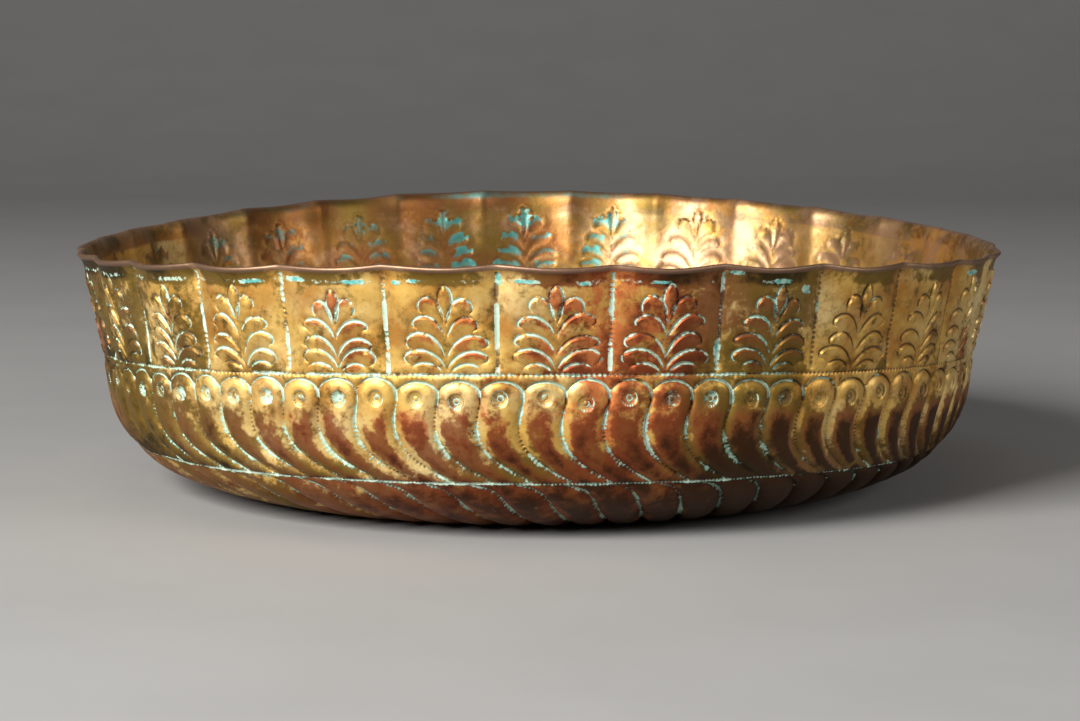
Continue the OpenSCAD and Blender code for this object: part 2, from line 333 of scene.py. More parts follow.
def on_belly(flat, depth):
    """Wraps (along, up) on the belly, from the frieze's line at up = 0 down to the whorl's."""
    profile, out = belly_profile(BELLY_RUN[-1] + flat[:, 1])
    near_line = eased(-flat[:, 1] / SEAM_BLEND)[:, None]
    out = unit(LINE_OUT * (1 - near_line) + out * near_line)
    return wrapped(turn_of(flat), profile, out, depth)


def on_whorl(flat, depth):
    """Wraps (along, up) on the whorl, from its line at up = 0 down to the floor's edge."""
    profile, out = belly_profile(WHORL_LEN + flat[:, 1])
    return wrapped(turn_of(flat), profile, out, depth)


# %% [markdown]
# ## Strokes of the chasing tool
# A chased line is not cut but pressed: the tracer punch is walked along, so the line has a round bottom, it
# swells in the middle and it breaks off where the punch was lifted. A stroke here is a path on the flat
# drawing with a half width, a depth and a filling of salt at each point. A leaf's stroke also raises the
# metal on one side.

# %% Strokes
Stroke = namedtuple("Stroke", "path half depth swell fill")
GROOVE_REACH = 1.4
SWELL_REACH = 2.3


def over_ends(strokes, reach):
    """The strokes, with copies of those that lie across the strip's ends."""
    copies = [s._replace(path=s.path + (shift, 0)) for s in strokes for shift in (-ROUND, ROUND)]
    near = [s for s in copies if s.path[:, 0].max() > -reach and s.path[:, 0].min() < ROUND + reach]
    return strokes + near


def press(flat, strokes, reach):
    """What the strokes do at flat points: the depth, masks of line, swell and fill, and the distance."""
    pressed = np.zeros(len(flat))
    line = np.zeros(len(flat))
    swell = np.zeros(len(flat))
    fill = np.zeros(len(flat))
    nearest = np.full(len(flat), reach)
    for stroke in over_ends(strokes, reach):
        low = stroke.path.min(0) - reach
        high = stroke.path.max(0) + reach
        here = np.flatnonzero(((flat >= low) & (flat <= high)).all(1))
        start = stroke.path[:-1]
        ahead = np.diff(stroke.path, axis=0)
        offset = flat[here, None] - start
        share = np.clip((offset * ahead).sum(2) / (ahead ** 2).sum(1), 0, 1)
        away = np.linalg.norm(offset - share[..., None] * ahead, axis=2)
        step = away.argmin(1)
        pick = np.arange(len(here)), step
        place = step + share[pick]
        steps = np.arange(len(stroke.path))
        half = np.interp(place, steps, stroke.half)
        depth = np.interp(place, steps, stroke.depth)
        bowl = (1 - np.clip(away[pick] / (GROOVE_REACH * half), 0, 1) ** 2) ** 2
        pressed[here] = np.maximum(pressed[here], depth * bowl)
        filled = np.interp(place, steps, stroke.fill)
        shown = bowl * np.maximum(depth / stroke.depth.max(), filled)
        fill[here] = np.where(shown > line[here], filled, fill[here])
        line[here] = np.maximum(line[here], shown)
        nearest[here] = np.minimum(nearest[here], away[pick])
        side = ahead[step, 0] * offset[pick][:, 1] - ahead[step, 1] * offset[pick][:, 0]
        middle = np.sqrt(np.clip(np.sin(math.pi * place / steps[-1]), 0, 1))
        raised = np.exp(-(away[pick] / SWELL_REACH) ** 2) * middle * (side * stroke.swell > 0)
        swell[here] = np.maximum(swell[here], raised)
    return pressed, line, swell, fill, nearest


def beside(strokes, offsets, every=1):
    """Points in rows across each stroke, at offsets counted in half widths."""
    rows = []
    for stroke in strokes:
        ahead = unit(np.gradient(stroke.path, axis=0))
        across = np.stack([-ahead[:, 1], ahead[:, 0]], 1)
        shift = stroke.half[:, None] * np.array(offsets)
        points = stroke.path[:, None] + shift[..., None] * across[:, None]
        rows.append(points[::every].reshape(-1, 2))
    return np.vstack(rows)


def nearest_mark(flat, centres, reach):
    """Distance of each flat point from the nearest punch mark, at most the reach, and the mark's number."""
    order = np.argsort(flat[:, 0])
    along = flat[order, 0]
    away = np.full(len(flat), float(reach))
    number = np.zeros(len(flat), int)
    for shift in (-ROUND, 0, ROUND):
        for i, (x, y) in enumerate(centres):
            first, last = np.searchsorted(along, (x + shift - reach, x + shift + reach))
            here = order[first:last]
            found = np.hypot(flat[here, 0] - x - shift, flat[here, 1] - y)
            closer = here[found < away[here]]
            away[closer] = found[found < away[here]]
            number[closer] = i
    return away, number


# %% [markdown]
# ## From points to a skin
# The chased lines need points close together, and the plain metal between them needs few. So each skin is
# a set of points: rows beside the strokes and along the lines of punch marks, circles in the ring punches,
# and a loose grid elsewhere. Where two drawn points crowd each other, the one given first is kept.
# Blender's own triangulation joins them, which edit-mode tools can't do for thousands of strokes.

# %% Skins
Patch = namedtuple("Patch", "places faces sheet marks")
DRAWN_GAP = 0.13
PLAIN_GAP = 0.5
AT_START = 1e-9
SAME_PLACE = 1e-5


def loose_grid(height, step):
    """Points of a staggered grid over a strip that hangs from up = 0 (height < 0) or stands on it."""
    columns = int(round(ROUND / step))
    rows = int(abs(height) / step)
    ups = np.sign(height) * (np.arange(rows) + 0.5) * abs(height) / rows
    shifts = np.arange(rows) % 2 / 2
    along = (np.arange(columns) + shifts[:, None]) * ROUND / columns
    return np.stack([along, np.broadcast_to(ups[:, None], along.shape)], -1).reshape(-1, 2)


def ring_row(count, up):
    return np.stack([np.arange(count) * ROUND / count, np.full(count, float(up))], 1)


def into_strip(flat):
    """Brings points back into the strip's length."""
    flat = flat.copy()
    flat[:, 0] %= ROUND
    return flat


def spaced(flat, gap):
    """The points in their order, without those that come closer than the gap to an earlier one."""
    tree = KDTree(len(flat))
    for i, point in enumerate(flat):
        tree.insert((*point, 0), i)
    tree.balance()
    kept = np.ones(len(flat), bool)
    for i, point in enumerate(flat):
        if kept[i]:
            for _, other, _ in tree.find_range((*point, 0), gap):
                kept[other] = kept[other] and other <= i
    return flat[kept]


def clear_of(flat, taken, cell):
    """The points that keep about a cell away from those taken."""
    columns = int(ROUND / cell)
    cells = np.floor(flat * (columns / ROUND, 1 / cell)).astype(np.int64)
    held = np.floor(taken * (columns / ROUND, 1 / cell)).astype(np.int64)
    near = set()
    for dx in (-1, 0, 1):
        for dy in (-1, 0, 1):
            near.update(map(tuple, np.stack([(held[:, 0] + dx) % columns, held[:, 1] + dy], 1)))
    return flat[[tuple(c) not in near for c in cells]]


def skin_points(drawn, plain, edges, low, high):
    """All points of one skin: its two edge rows, what is drawn, and the plain grid in between."""
    drawn = into_strip(drawn)
    drawn = drawn[(drawn[:, 1] > low + DRAWN_GAP) & (drawn[:, 1] < high - DRAWN_GAP)]
    drawn = spaced(drawn, DRAWN_GAP)
    drawn = drawn[(drawn[:, 0] > DRAWN_GAP) & (drawn[:, 0] < ROUND - DRAWN_GAP)]
    plain = into_strip(plain)
    plain = plain[(plain[:, 1] > low + PLAIN_GAP / 2) & (plain[:, 1] < high - PLAIN_GAP / 2)]
    ends = np.arange(low, high, PLAIN_GAP)[1:]
    ends = np.stack([np.zeros(len(ends)), ends], 1)
    plain = clear_of(plain, np.vstack([drawn, edges, ends]), PLAIN_GAP)
    return np.vstack([edges, ends, drawn, plain])


def triangles(flat):
    """Joins the points of a strip whose two ends meet, and gives its points and faces."""
    ends = flat[flat[:, 0] < AT_START]
    closed = np.vstack([flat, ends + (ROUND, 0)])
    found = delaunay_2d_cdt([Vector(p) for p in closed], [], [], 0, SAME_PLACE)
    return np.array([v[:] for v in found[0]]), np.array(found[2])


def along_ring(columns):
    """Places along the strip for a row whose last point meets its first."""
    return np.arange(columns + 1) * ROUND / columns


def regular(along, ups, shape, sheet_ups, marks):
    """A patch of rows and columns. Shape places one row at a time, and marks takes all the points."""
    columns = len(along)
    places = np.vstack([shape(np.stack([along, np.full(columns, up)], 1), i) for i, up in enumerate(ups)])
    base = np.arange(columns - 1)
    faces = []
    for row in range(len(ups) - 1):
        a = row * columns + base
        b = a + columns
        faces += [np.stack([a, a + 1, b + 1], 1), np.stack([a, b + 1, b], 1)]
    flat = np.stack([np.tile(along, len(ups)), np.repeat(ups, columns)], 1)
    sheet = np.stack([flat[:, 0], np.repeat(sheet_ups, columns)], 1)
    return Patch(places, np.vstack(faces), sheet, marks(flat))


# %% [markdown]
# ## Bands of the wall
# Frieze, belly and whorl are made alike. Each is a band of sheet that starts at a beaded line and has an
# outer skin, an inner skin and rows that close the sheet at its edge. A band holds what differs: where it
# ends, its edge rows, the functions for its relief, wrapping and marks, the share of the relief that shows
# inside, and the height at which its map turns over to the inner skin.

# %% Bands
Band = namedtuple("Band", "far edges relief wrap marks share fold")


def skin(band, drawn, step, inner):
    """The outer skin of a band where inner is 0, or the inner one, a sheet's thickness under it, where 1."""
    low, high = sorted((0, band.far))
    points = skin_points(np.vstack(drawn), loose_grid(band.far, step), np.vstack(band.edges), low, high)
    flat, faces = triangles(points)
    lift, *paint = band.relief(flat)
    sheet = flat.copy()
    depth = -lift
    if inner:
        sheet[:, 1] = band.fold - sheet[:, 1]
        depth = SHEET - band.share * lift
    return Patch(band.wrap(flat, depth), faces, sheet, band.marks(flat, *paint, inner))


def closing(band, up, columns, sheet_ups):
    """Two rows that close the sheet along a line, from the outer skin to the inner."""
    def row(flat, i):
        lift = band.relief(flat)[0]
        return band.wrap(flat, SHEET - band.share * lift if i else -lift)

    def marks(flat):
        _, *paint = band.relief(flat)
        return band.marks(flat, *paint, 0.0)

    return regular(along_ring(columns), [up, up], row, sheet_ups, marks)


# %% [markdown]
# ## Where the colours lie
# The finish differs round the bowl. In the lines at the left and the middle lies pale green salt, at the
# right the lines are dark, red copper shows right of the middle, and the gadroons at the right are nearly
# black. These amounts are given, each as a list of turns from the front, in degrees, with the amount
# there. They are stored on the mesh as attributes that the material reads later.

# %% Amounts round the bowl
MARKS = ("chased", "mint", "brown", "red", "teal", "bare", "inner")
MINT = {-180: 0.5, -120: 0.6, -75: 0.55, -40: 0.7, 0: 0.74, 24: 0.7, 31: 0.35, 45: 0.2, 90: 0.2, 150: 0.5}
# Brown on the frieze: tarnish, and painted shade at the left end, where the light falls off
FRIEZE_BROWN_AND_SHADE = {-180: 0.3, -100: 0.6, -75: 0.9, -55: 0.6, -36: 0.2, -20: 0.12, 0: 0.25, 10: 0.45, 16: 0.5,
                23: 0.8, 29: 0.7, 35: 0.15, 60: 0.2, 90: 0.4, 130: 0.35}
FRIEZE_RED = {-180: 0.25, -100: 0.15, -40: 0.1, -12: 0.2, 0: 0.3, 5: 0.6, 9: 0.85, 12: 0.6, 18: 0.35,
              30: 0.15, 80: 0.15, 130: 0.45, 150: 0.3}
# Brown on the belly: tarnish, and painted shade at the right, where the light falls off, nearly black there
BELLY_BROWN_AND_SHADE = {-180: 0.75, -110: 0.8, -60: 0.85, -30: 0.8, 0: 0.85, 18: 0.95, 28: 1.35, 90: 1.35, 130: 0.85}
BELLY_RED = {-180: 0.4, -100: 0.3, -40: 0.3, -15: 0.65, 8: 0.75, 24: 0.75, 32: 0.5, 90: 0.45, 140: 0.5}
LINE_TEAL = {-180: 0.2, -45: 0.2, -26: 0.4, -5: 0.35, 5: 0.25, 20: 0.45, 27: 0.65, 33: 0.4, 45: 0.1, 90: 0.1}
LIP_SALT = {-180: 0.3, -110: 0.35, -85: 0.5, -60: 0.5, -25: 0.4, 10: 0.34, 26: 0.3, 34: 0.12, 70: 0.15,
            120: 0.4}
LEAF_RED = {-180: 0.3, -60: 0.15, -34: 0.15, -22: 0.5, -10: 0.55, 3: 0.5, 12: 0.4, 25: 0.2, 45: 0.1, 90: 0.3}
# Brown on the lining: tarnish, painted shade on the inner back wall left of the lamp's reflection, and nearly
# none on the inner left wall, which stays gold as a painted highlight
LINING_BROWN_SHADE_AND_HIGHLIGHT = {-180: 0.75, -168: 0.75, -150: 0.78, -138: 0.68, -125: 0.22, -114: 0.02, -100: 0.05, -85: 0.2,
                0: 0.4, 90: 0.3, 115: 0.25, 130: 0.12, 145: 0.2, 165: 0.35, 173: 0.6}
HOLLOW_SALT = {-180: 0.75, -174: 1.05, -168: 1.15, -163: 0.55, -150: 0.6, -138: 0.55, -120: 0.45, 0: 0.3,
               130: 0.25, 160: 0.15, 166: 0.45, 171: 0.85, 176: 0.9}
BEAD_SALT = {-180: 0.3, -60: 0.6, -25: 0.7, -8: 0.6, -2: 0.2, 10: 0.1, 18: 0.4, 30: 0.2, 90: 0.2}
STRIP_SALT = {-180: 0.5, -54: 0.75, -42: 0.5, -30: 0.5, -17: 0.7, -4.6: 0.95, 8: 0.25, 21: 0.6, 33: 0.1,
              90: 0.2}
LIP_SALT_UP = 19.4
LIP_SALT_HALF = 0.7
Spot = namedtuple("Spot", "turn up wide high")
TEAL_SPOTS = (
    Spot(-34, 19.4, 2.2, 0.7), Spot(-28, 19.8, 1.8, 0.6), Spot(-21, 19.3, 2.6, 0.7), Spot(-16, 19.1, 1, 0.6),
    Spot(-13.6, 19.6, 1.1, 0.6), Spot(-4.4, 19.6, 0.5, 2.2), Spot(-1.4, 19.4, 2.2, 0.6),
    Spot(5, 19, 0.8, 0.5), Spot(13.5, 19.4, 1.6, 0.5), Spot(20.8, 5.5, 0.4, 2.8),
    Spot(22.4, 21, 1.2, 0.6), Spot(28, 19.5, 1.6, 0.7), Spot(31.5, 17.6, 0.7, 1.2), Spot(64, 19.6, 2, 0.7),
    Spot(-80, 19.6, 2, 0.7), Spot(-118, 19.4, 2.4, 0.7), Spot(142, 19.4, 2.6, 0.7),
    Spot(171, 19.5, 1.8, 0.7))


def from_front(turn):
    return (turn - FRONT + 180) % 360 - 180


def by_turn(turn, amounts):
    return np.interp(from_front(turn), list(amounts), list(amounts.values()), period=360)


def spotted(turn, up, spots):
    """1 in the middle of each spot, and less away from it."""
    found = np.zeros(len(turn))
    for spot in spots:
        aside = (from_front(turn) - spot.turn + 180) % 360 - 180
        found = np.maximum(found, np.exp(-(aside / spot.wide) ** 2 - ((up - spot.up) / spot.high) ** 2))
    return found


def painted(turn, chased, brown, red, teal, inner, bare=0.0, fill=0.0):
    """The amounts of each finish, where a number alone counts for every point."""
    amounts = {
        "chased": chased, "mint": by_turn(turn, MINT) + fill, "brown": brown, "red": red, "teal": teal,
        "bare": bare, "inner": inner}
    return {mark: amount * np.ones(len(turn)) for mark, amount in amounts.items()}


def plain_marks(**amounts):
    """Marks for a patch whose points all have the same amounts."""
    return lambda flat: {mark: np.full(len(flat), amounts.get(mark, 0.0)) for mark in MARKS}


def lip_salts(turn, up):
    """Turquoise in the corner under the lip: a ragged band, and single spots."""
    band = by_turn(turn, LIP_SALT) * np.exp(-((up - LIP_SALT_UP) / LIP_SALT_HALF) ** 2)
    return np.maximum(spotted(turn, up, TEAL_SPOTS), band)


print("salt in the lines at the front:", by_turn(FRONT, MINT), "spots of turquoise:", len(TEAL_SPOTS))


# %% [markdown]
# ## Putting a piece together
# A piece is a few patches: an outer skin, an inner skin and the rows that join them. They are laid in one
# mesh, the points that coincide are merged, and the faces are turned outward. The strip's own places become
# a map that is folded into rows, so that a long band fills a square.

# %% Assembly
MERGE = 2e-6
SMOOTH_UNDER = math.radians(58)
MAP_MARGIN = 0.012
MAP_ROWS = 5


def folded(sheet, faces):
    """Corners of the faces on a square map, where the strip is cut into rows that lie side by side."""
    width = ROUND / MAP_ROWS
    tall = sheet[:, 1].max() - sheet[:, 1].min()
    row = np.clip(np.floor(sheet[faces, 0].mean(1) / width), 0, MAP_ROWS - 1)[:, None]
    u = sheet[faces, 0] / width - row
    v = (sheet[faces, 1] - sheet[:, 1].min()) / tall
    inset = 1 - 2 * MAP_MARGIN
    return np.stack([MAP_MARGIN + inset * u, (row + MAP_MARGIN + inset * v) / MAP_ROWS], -1).reshape(-1, 2)


def turned_out():
    """Turns all faces of the piece in edit mode outward, leaves edit mode and smooths the piece."""
    bpy.ops.mesh.select_all(action="SELECT")
    bpy.ops.mesh.normals_make_consistent(inside=False)
    bpy.ops.object.mode_set(mode="OBJECT")
    bpy.ops.object.shade_smooth_by_angle(angle=SMOOTH_UNDER)


def assemble(name, patches):
    """One closed piece from its patches, with the marks as attributes."""
    firsts = np.cumsum([0] + [len(p.places) for p in patches])
    faces = np.vstack([p.faces + first for p, first in zip(patches, firsts)])
    mesh = bpy.data.meshes.new(name)
    mesh.from_pydata(np.vstack([p.places for p in patches]).tolist(), [], faces.tolist())
    for mark in MARKS:
        layer = mesh.attributes.new(mark, "FLOAT", "POINT")
        layer.data.foreach_set("value", np.concatenate([p.marks[mark] for p in patches]).astype(np.float32))
    corners = folded(np.vstack([p.sheet for p in patches]), faces)
    mesh.uv_layers.new(name="OFBake").uv.foreach_set("vector", corners.astype(np.float32).ravel())
    piece = bpy.data.objects.new(name, mesh)
    bpy.context.collection.objects.link(piece)
    bpy.ops.object.select_all(action="DESELECT")
    piece.select_set(True)
    bpy.context.view_layer.objects.active = piece
    bpy.ops.object.mode_set(mode="EDIT")
    bpy.ops.mesh.select_all(action="SELECT")
    bpy.ops.mesh.remove_doubles(threshold=MERGE)
    turned_out()
    uses = np.zeros(len(piece.data.edges), int)
    ends = np.zeros(len(piece.data.loops), np.int32)
    piece.data.loops.foreach_get("edge_index", ends)
    np.add.at(uses, ends, 1)
    print(name, "triangles:", len(piece.data.polygons), "open edges:", int((uses != 2).sum()))
    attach(piece, "root")
    return piece


# %% [markdown]
# ## The spray of leaves
# Each panel holds one spray: a bud on top, four pairs of leaves whose lines rise from the stem and hook
# down at the tip, and a plain arc on each side at the foot. A chaser works by eye, so every spray is drawn
# anew with small differences in place, tilt and size.

# %% Spray
BUD_TIP = 18.9
BUD_FOOT = 10.4
BUD_HALF = 1.7
BUD_SIDE = ((0, BUD_TIP), (BUD_HALF, BUD_TIP - 1.6), (BUD_HALF, BUD_TIP - 4), (0.1, BUD_FOOT))
BUD_POINTS = 15
LEAF_ROOTS = (12.2, 8.0, 4.3, 1.6)
LEAF_TOPS = (16.2, 12.2, 8.4, 5.3)
LEAF_SPREADS = (4.9, 6.7, 7.7, 8.3)
LEAF_HOOKS = (0.2, 0.42, 0.35, 0.2)
HOOK_LEAST = 0.05
HOOK_MOST = 0.55
LEAF_POINTS = 11
FOOT_ARC = ((1.0, 0.8), (2.2, 2.4), (4.4, 3.1), (6.3, 1.6))
FOOT_POINTS = 13
LINE_HALF = 0.2
LINE_SWELL = 0.16
LINE_DEPTH = 0.36
ENTRY_DEPTH = 0.4
ENTRY_SLOPE = 5
EXIT_DEPTH = 0.3
EXIT_SLOPE = 6
FORCE_LEAST = 0.85
FORCE_MOST = 1.1
LIFT_CHANCE = 0.6
LIFT_FROM = 0.5
LIFT_TO = 0.78
LIFT_HALF = 0.045
LIFT_SHARE = 0.9
# How far the hand strays, as standard deviations in millimetres, shares or degrees
ROOT_SLIP = 0.2
TOP_SLIP = 0.25
SPREAD_SLIP = 0.05
HOOK_SLIP = 0.07
TILT_SLIP = 1.6
SIZE_SLIP = 0.025
PLACE_SLIP = 0.35


def drawn_line(path, hand, swell, lifted=True):
    """A stroke along a path, fuller before its middle, with a break where the punch was lifted."""
    share = np.linspace(0, 1, len(path))
    half = LINE_HALF + LINE_SWELL * np.sin(math.pi * share ** 0.8)
    entering = ENTRY_DEPTH + ENTRY_SLOPE * share
    leaving = EXIT_DEPTH + EXIT_SLOPE * (1 - share)
    depth = LINE_DEPTH * np.minimum(1, np.minimum(entering, leaving))
    depth = depth * hand.uniform(FORCE_LEAST, FORCE_MOST)
    if lifted and hand.random() < LIFT_CHANCE:
        lift_at = hand.uniform(LIFT_FROM, LIFT_TO)
        depth = depth * (1 - LIFT_SHARE * np.exp(-((share - lift_at) / LIFT_HALF) ** 2))
    return Stroke(path, half, depth, swell, np.zeros(len(path)))


def leaf_path(root, top, spread, hook):
    """From the stem up, over the crest and down to the hooked tip, placed by shares of spread and rise."""
    rise = top - root
    shares = np.linspace(0, 1, LEAF_POINTS)
    crest = (0.64 * spread, top)
    stem = (0.15, root - 0.5)
    up = bezier(stem, (0.13 * spread, root + 0.55 * rise), (0.34 * spread, top), crest, shares)
    tip = (0.86 * spread, root + hook * rise)
    side = (1.14 * spread, root + (0.35 + 0.5 * hook) * rise)
    down = bezier(crest, (0.92 * spread, top), side, tip, shares)
    return np.vstack([up, down[1:]])


def spray(middle, hand):
    """All strokes of one panel's spray."""
    strokes = []
    for side in (-1, 1):
        bud = bezier(*BUD_SIDE, np.linspace(0, 1, BUD_POINTS))
        strokes.append(drawn_line(bud * (side, 1), hand, -side, lifted=False))
        for root, top, spread, hook in zip(LEAF_ROOTS, LEAF_TOPS, LEAF_SPREADS, LEAF_HOOKS):
            leaf = leaf_path(
                root + hand.normal(0, ROOT_SLIP),
                top + hand.normal(0, TOP_SLIP),
                spread * (1 + hand.normal(0, SPREAD_SLIP)),
                np.clip(hook + hand.normal(0, HOOK_SLIP), HOOK_LEAST, HOOK_MOST))
            strokes.append(drawn_line(leaf * (side, 1), hand, -side))
        foot = bezier(*FOOT_ARC, np.linspace(0, 1, FOOT_POINTS))
        foot = foot * (side * (1 + hand.normal(0, SPREAD_SLIP)), 1)
        strokes.append(drawn_line(foot, hand, -side, lifted=False))
    tilt = math.radians(hand.normal(0, TILT_SLIP))
    size = 1 + hand.normal(0, SIZE_SLIP)
    place = (middle + hand.normal(0, PLACE_SLIP), 0)
    turned = size * np.array([[math.cos(tilt), math.sin(tilt)], [-math.sin(tilt), math.cos(tilt)]])
    return [stroke._replace(path=stroke.path @ turned + place) for stroke in strokes]


sprays = []
for panel in range(PANELS):
    sprays += spray((panel + 0.5) * PANEL_W, HAND)
print("strokes in the frieze:", len(sprays))


# %% [markdown]
# ## Frieze and lip
# The lines between panels are rows of round punch marks, and the frieze stands on a beaded line. The rim is
# the raw edge of the sheet, rounded by wear. The inside shows the same strokes from behind, softer, because
# the metal spreads them.

# %% Punch marks and beads
DOT_STEP = 1.02
DOT_R = 0.57
DOT_EDGE = 1.7
DOT_DEPTH = 0.3
DOT_END = 1.2
DOT_ASIDE_SLIP = 0.07
DOT_UP_SLIP = 0.06
DOT_FORCE_LEAST = 0.6
STRIP_HALF = 0.6
STRIP_EDGE = 1.6
STRIP_WAVE = 0.55
STRIP_SWING = 0.4
STRIP_FROM = 0.4
STRIP_SOFT = 0.3
STRIP_TOP = 2.0
STRIP_FADE = 1.5
STRIP_DEPTH = 0.15
STRIP_ROWS = (-0.85, -0.58, -0.3, 0, 0.3, 0.58, 0.85)
BEADS = 21 * PANELS
BEAD_HALF = 0.62
BEAD_DEPTH = 0.36
BEAD_LEAST = 0.3
LINE_COLUMNS = 4 * BEADS


def beads(flat, count):
    """A row of beads at up = 0: how deep it is pressed, and its mask. Salt joins the beads in places."""
    across = (1 - np.clip(np.abs(flat[:, 1]) / BEAD_HALF, 0, 1) ** 2) ** 2
    swing = 0.5 + 0.5 * np.cos(2 * math.pi * count * flat[:, 0] / ROUND)
    joined = by_turn(turn_of(flat), BEAD_SALT)
    shown = across * (BEAD_LEAST + (1 - BEAD_LEAST) * np.maximum(swing, joined))
    return BEAD_DEPTH * across * (BEAD_LEAST + (1 - BEAD_LEAST) * swing), shown


dots = []
for panel in range(PANELS):
    for up in np.arange(DOT_END, FRIEZE_LEN - DOT_END, DOT_STEP):
        dots.append((panel * PANEL_W + HAND.normal(0, DOT_ASIDE_SLIP), up + HAND.normal(0, DOT_UP_SLIP)))
dots = np.array(dots)
dot_points = []
for panel in range(PANELS):
    for up in np.arange(DOT_END - DOT_R, FRIEZE_LEN - DOT_END, DOT_STEP / 3):
        dot_points += [(panel * PANEL_W + aside, up) for aside in STRIP_ROWS]
dot_forces = HAND.uniform(DOT_FORCE_LEAST, 1.0, len(dots))
strip_starts = HAND.uniform(0, 2 * math.pi, PANELS)


def from_divider(flat):
    """Distance along the strip from the nearest line between two panels."""
    return ((flat[:, 0] / PANEL_W + 0.5) % 1 - 0.5) * PANEL_W


def divider_strips(flat):
    """Mask of the salt that joins the punch marks of a divider into a strip."""
    divider = np.rint(flat[:, 0] / PANEL_W).astype(int) % PANELS
    strip = np.clip(STRIP_EDGE * (1 - (from_divider(flat) / STRIP_HALF) ** 2), 0, 1)
    swing = STRIP_SWING * np.sin(STRIP_WAVE * flat[:, 1] + strip_starts[divider])
    joined = eased((by_turn(turn_of(flat), STRIP_SALT) + swing - STRIP_FROM) / STRIP_SOFT)
    return strip * joined * eased((FRIEZE_LEN - STRIP_TOP - flat[:, 1]) / STRIP_FADE)


print("punch marks between panels:", len(dots))


# %% Frieze ring
RIM_COLUMNS = 24 * PANELS
RIM_ROUND = 0.45
RIM_ROWS = 6
OUTER_ROWS = (-1.5, -0.7, 0, 0.7, 1.5)
INNER_ROWS = (-2.2, 0, 2.2)
FRIEZE_STEP = 1.1
LINING_STEP = 1.5
LINING_EVERY = 2
LEAF_REACH = 1.6 * SWELL_REACH
LEAF_RISE = 0.4
# Painted shade under the out-turned lip, with some dark patina: its amount, where it starts and its run
LIP_PATINA_AND_SHADE = 0.68
LIP_SHADE_FROM = 0.6
LIP_SHADE_RUN = 1.8
LIP_ROW_STEP = 0.4
# Share of the painted shade under the lip that also darkens the lining under the rim
LINING_LIP_SHADE_SHARE = 0.5
LINING_LIP_SALT = 0.5
LINING_LIP_UP = 21.0
LINING_LIP_HALF = 0.9
LEAF_BROWN = 0.15
LINING_LEAF_BROWN = 0.3
# Painted light and shade on each panel: less brown on its left flank and more on its right, as lit from the
# left
FLANK_LIGHT_AND_SHADE = 0.3
FLANK_SHADE_MIDDLE = 0.4
# Painted shade at the frieze's foot, darker towards the beaded line, against the bright strip its bend
# catches
FOOT_SHADE = 0.25
FOOT_SHADE_RUN = 4.0
LINING_SHARE = 0.45
CREASE = 0.5
CREASE_HALF = 2.0
CREASE_RUN = 8.0
rim_up = FRIEZE_LEN - RIM_ROUND


def frieze_relief(flat, inner=0.0):
    """Lift of the surface, line mask and leaf mask at flat points. Punch marks don't show inside."""
    pressed, line, leaf, _, _ = press(flat, sprays, LEAF_REACH)
    away, number = nearest_mark(flat, dots, DOT_R)
    dot_mask = np.clip(DOT_EDGE * (1 - (away / DOT_R) ** 2), 0, 1) * dot_forces[number] * (1 - inner)
    strip = divider_strips(flat) * (1 - inner)
    beaded, bead_mask = beads(flat, BEADS)
    crease = CREASE * np.exp(-(from_divider(flat) / CREASE_HALF) ** 2)
    crease *= eased(flat[:, 1] / CREASE_RUN) * eased((rim_up - flat[:, 1]) / SEAM_BLEND)
    dotted = np.maximum(DOT_DEPTH * dot_mask * (1 - strip), STRIP_DEPTH * strip)
    lift = LEAF_RISE * leaf * (1 - line) - crease - np.max([pressed, dotted, beaded], 0)
    return lift, np.max([line, dot_mask, strip, bead_mask], 0), leaf


def lining_relief(flat):
    return frieze_relief(flat, 1.0)


def frieze_marks(flat, line, leaf, inner):
    """Marks of the outer skin where inner is 0, and of the lining where it is 1."""
    turn = turn_of(flat)
    up = flat[:, 1]
    # Painted shade under the lip, with some dark patina, growing towards the rim
    lip_patina_and_shade = LIP_PATINA_AND_SHADE * eased((up - WALL_LEN - LIP_SHADE_FROM) / LIP_SHADE_RUN)
    across = flat[:, 0] / PANEL_W % 1
    # Tarnish by turn and on the leaves, painted shade at the frieze's left end, and painted light and shade
    # across each panel
    brown = by_turn(turn, FRIEZE_BROWN_AND_SHADE) + LEAF_BROWN * leaf + FLANK_LIGHT_AND_SHADE * (across - FLANK_SHADE_MIDDLE)
    # Painted shade under the lip, deepest in each panel's middle where the lip overhangs, and painted shade
    # at the foot
    brown = brown + lip_patina_and_shade * np.sin(math.pi * across) + FOOT_SHADE * (1 - eased(up / FOOT_SHADE_RUN))
    red = by_turn(turn, FRIEZE_RED) + by_turn(turn, LEAF_RED) * leaf
    salts = np.maximum(lip_salts(turn, up), line * by_turn(turn, LINE_TEAL))
    # The lining's brown: tarnish, painted shade beside the lamp's reflection and under the rim, and a painted
    # highlight where it is nearly none
    lining_brown_shade_and_highlight = by_turn(turn, LINING_BROWN_SHADE_AND_HIGHLIGHT) + LINING_LIP_SHADE_SHARE * lip_patina_and_shade + LINING_LEAF_BROWN * leaf
    lining_lip = LINING_LIP_SALT * np.exp(-((up - LINING_LIP_UP) / LINING_LIP_HALF) ** 2)
    lining_salts = by_turn(turn, HOLLOW_SALT) * np.maximum(leaf ** 2, lining_lip)
    brown = brown * (1 - inner) + lining_brown_shade_and_highlight * inner
    salts = salts * (1 - inner) + lining_salts * inner
    bare = eased((up - rim_up) / LIP_ROW_STEP + 1)
    return painted(turn, line, brown, red, salts, inner, bare)


def rim_row(flat, i):
    """One row over the rounded edge of the sheet, from the outer skin to the inner."""
    half_turn = math.pi * i / RIM_ROWS
    flat = flat + (0, RIM_ROUND * math.sin(half_turn))
    return on_frieze(flat, SHEET / 2 * (1 - math.cos(half_turn)))


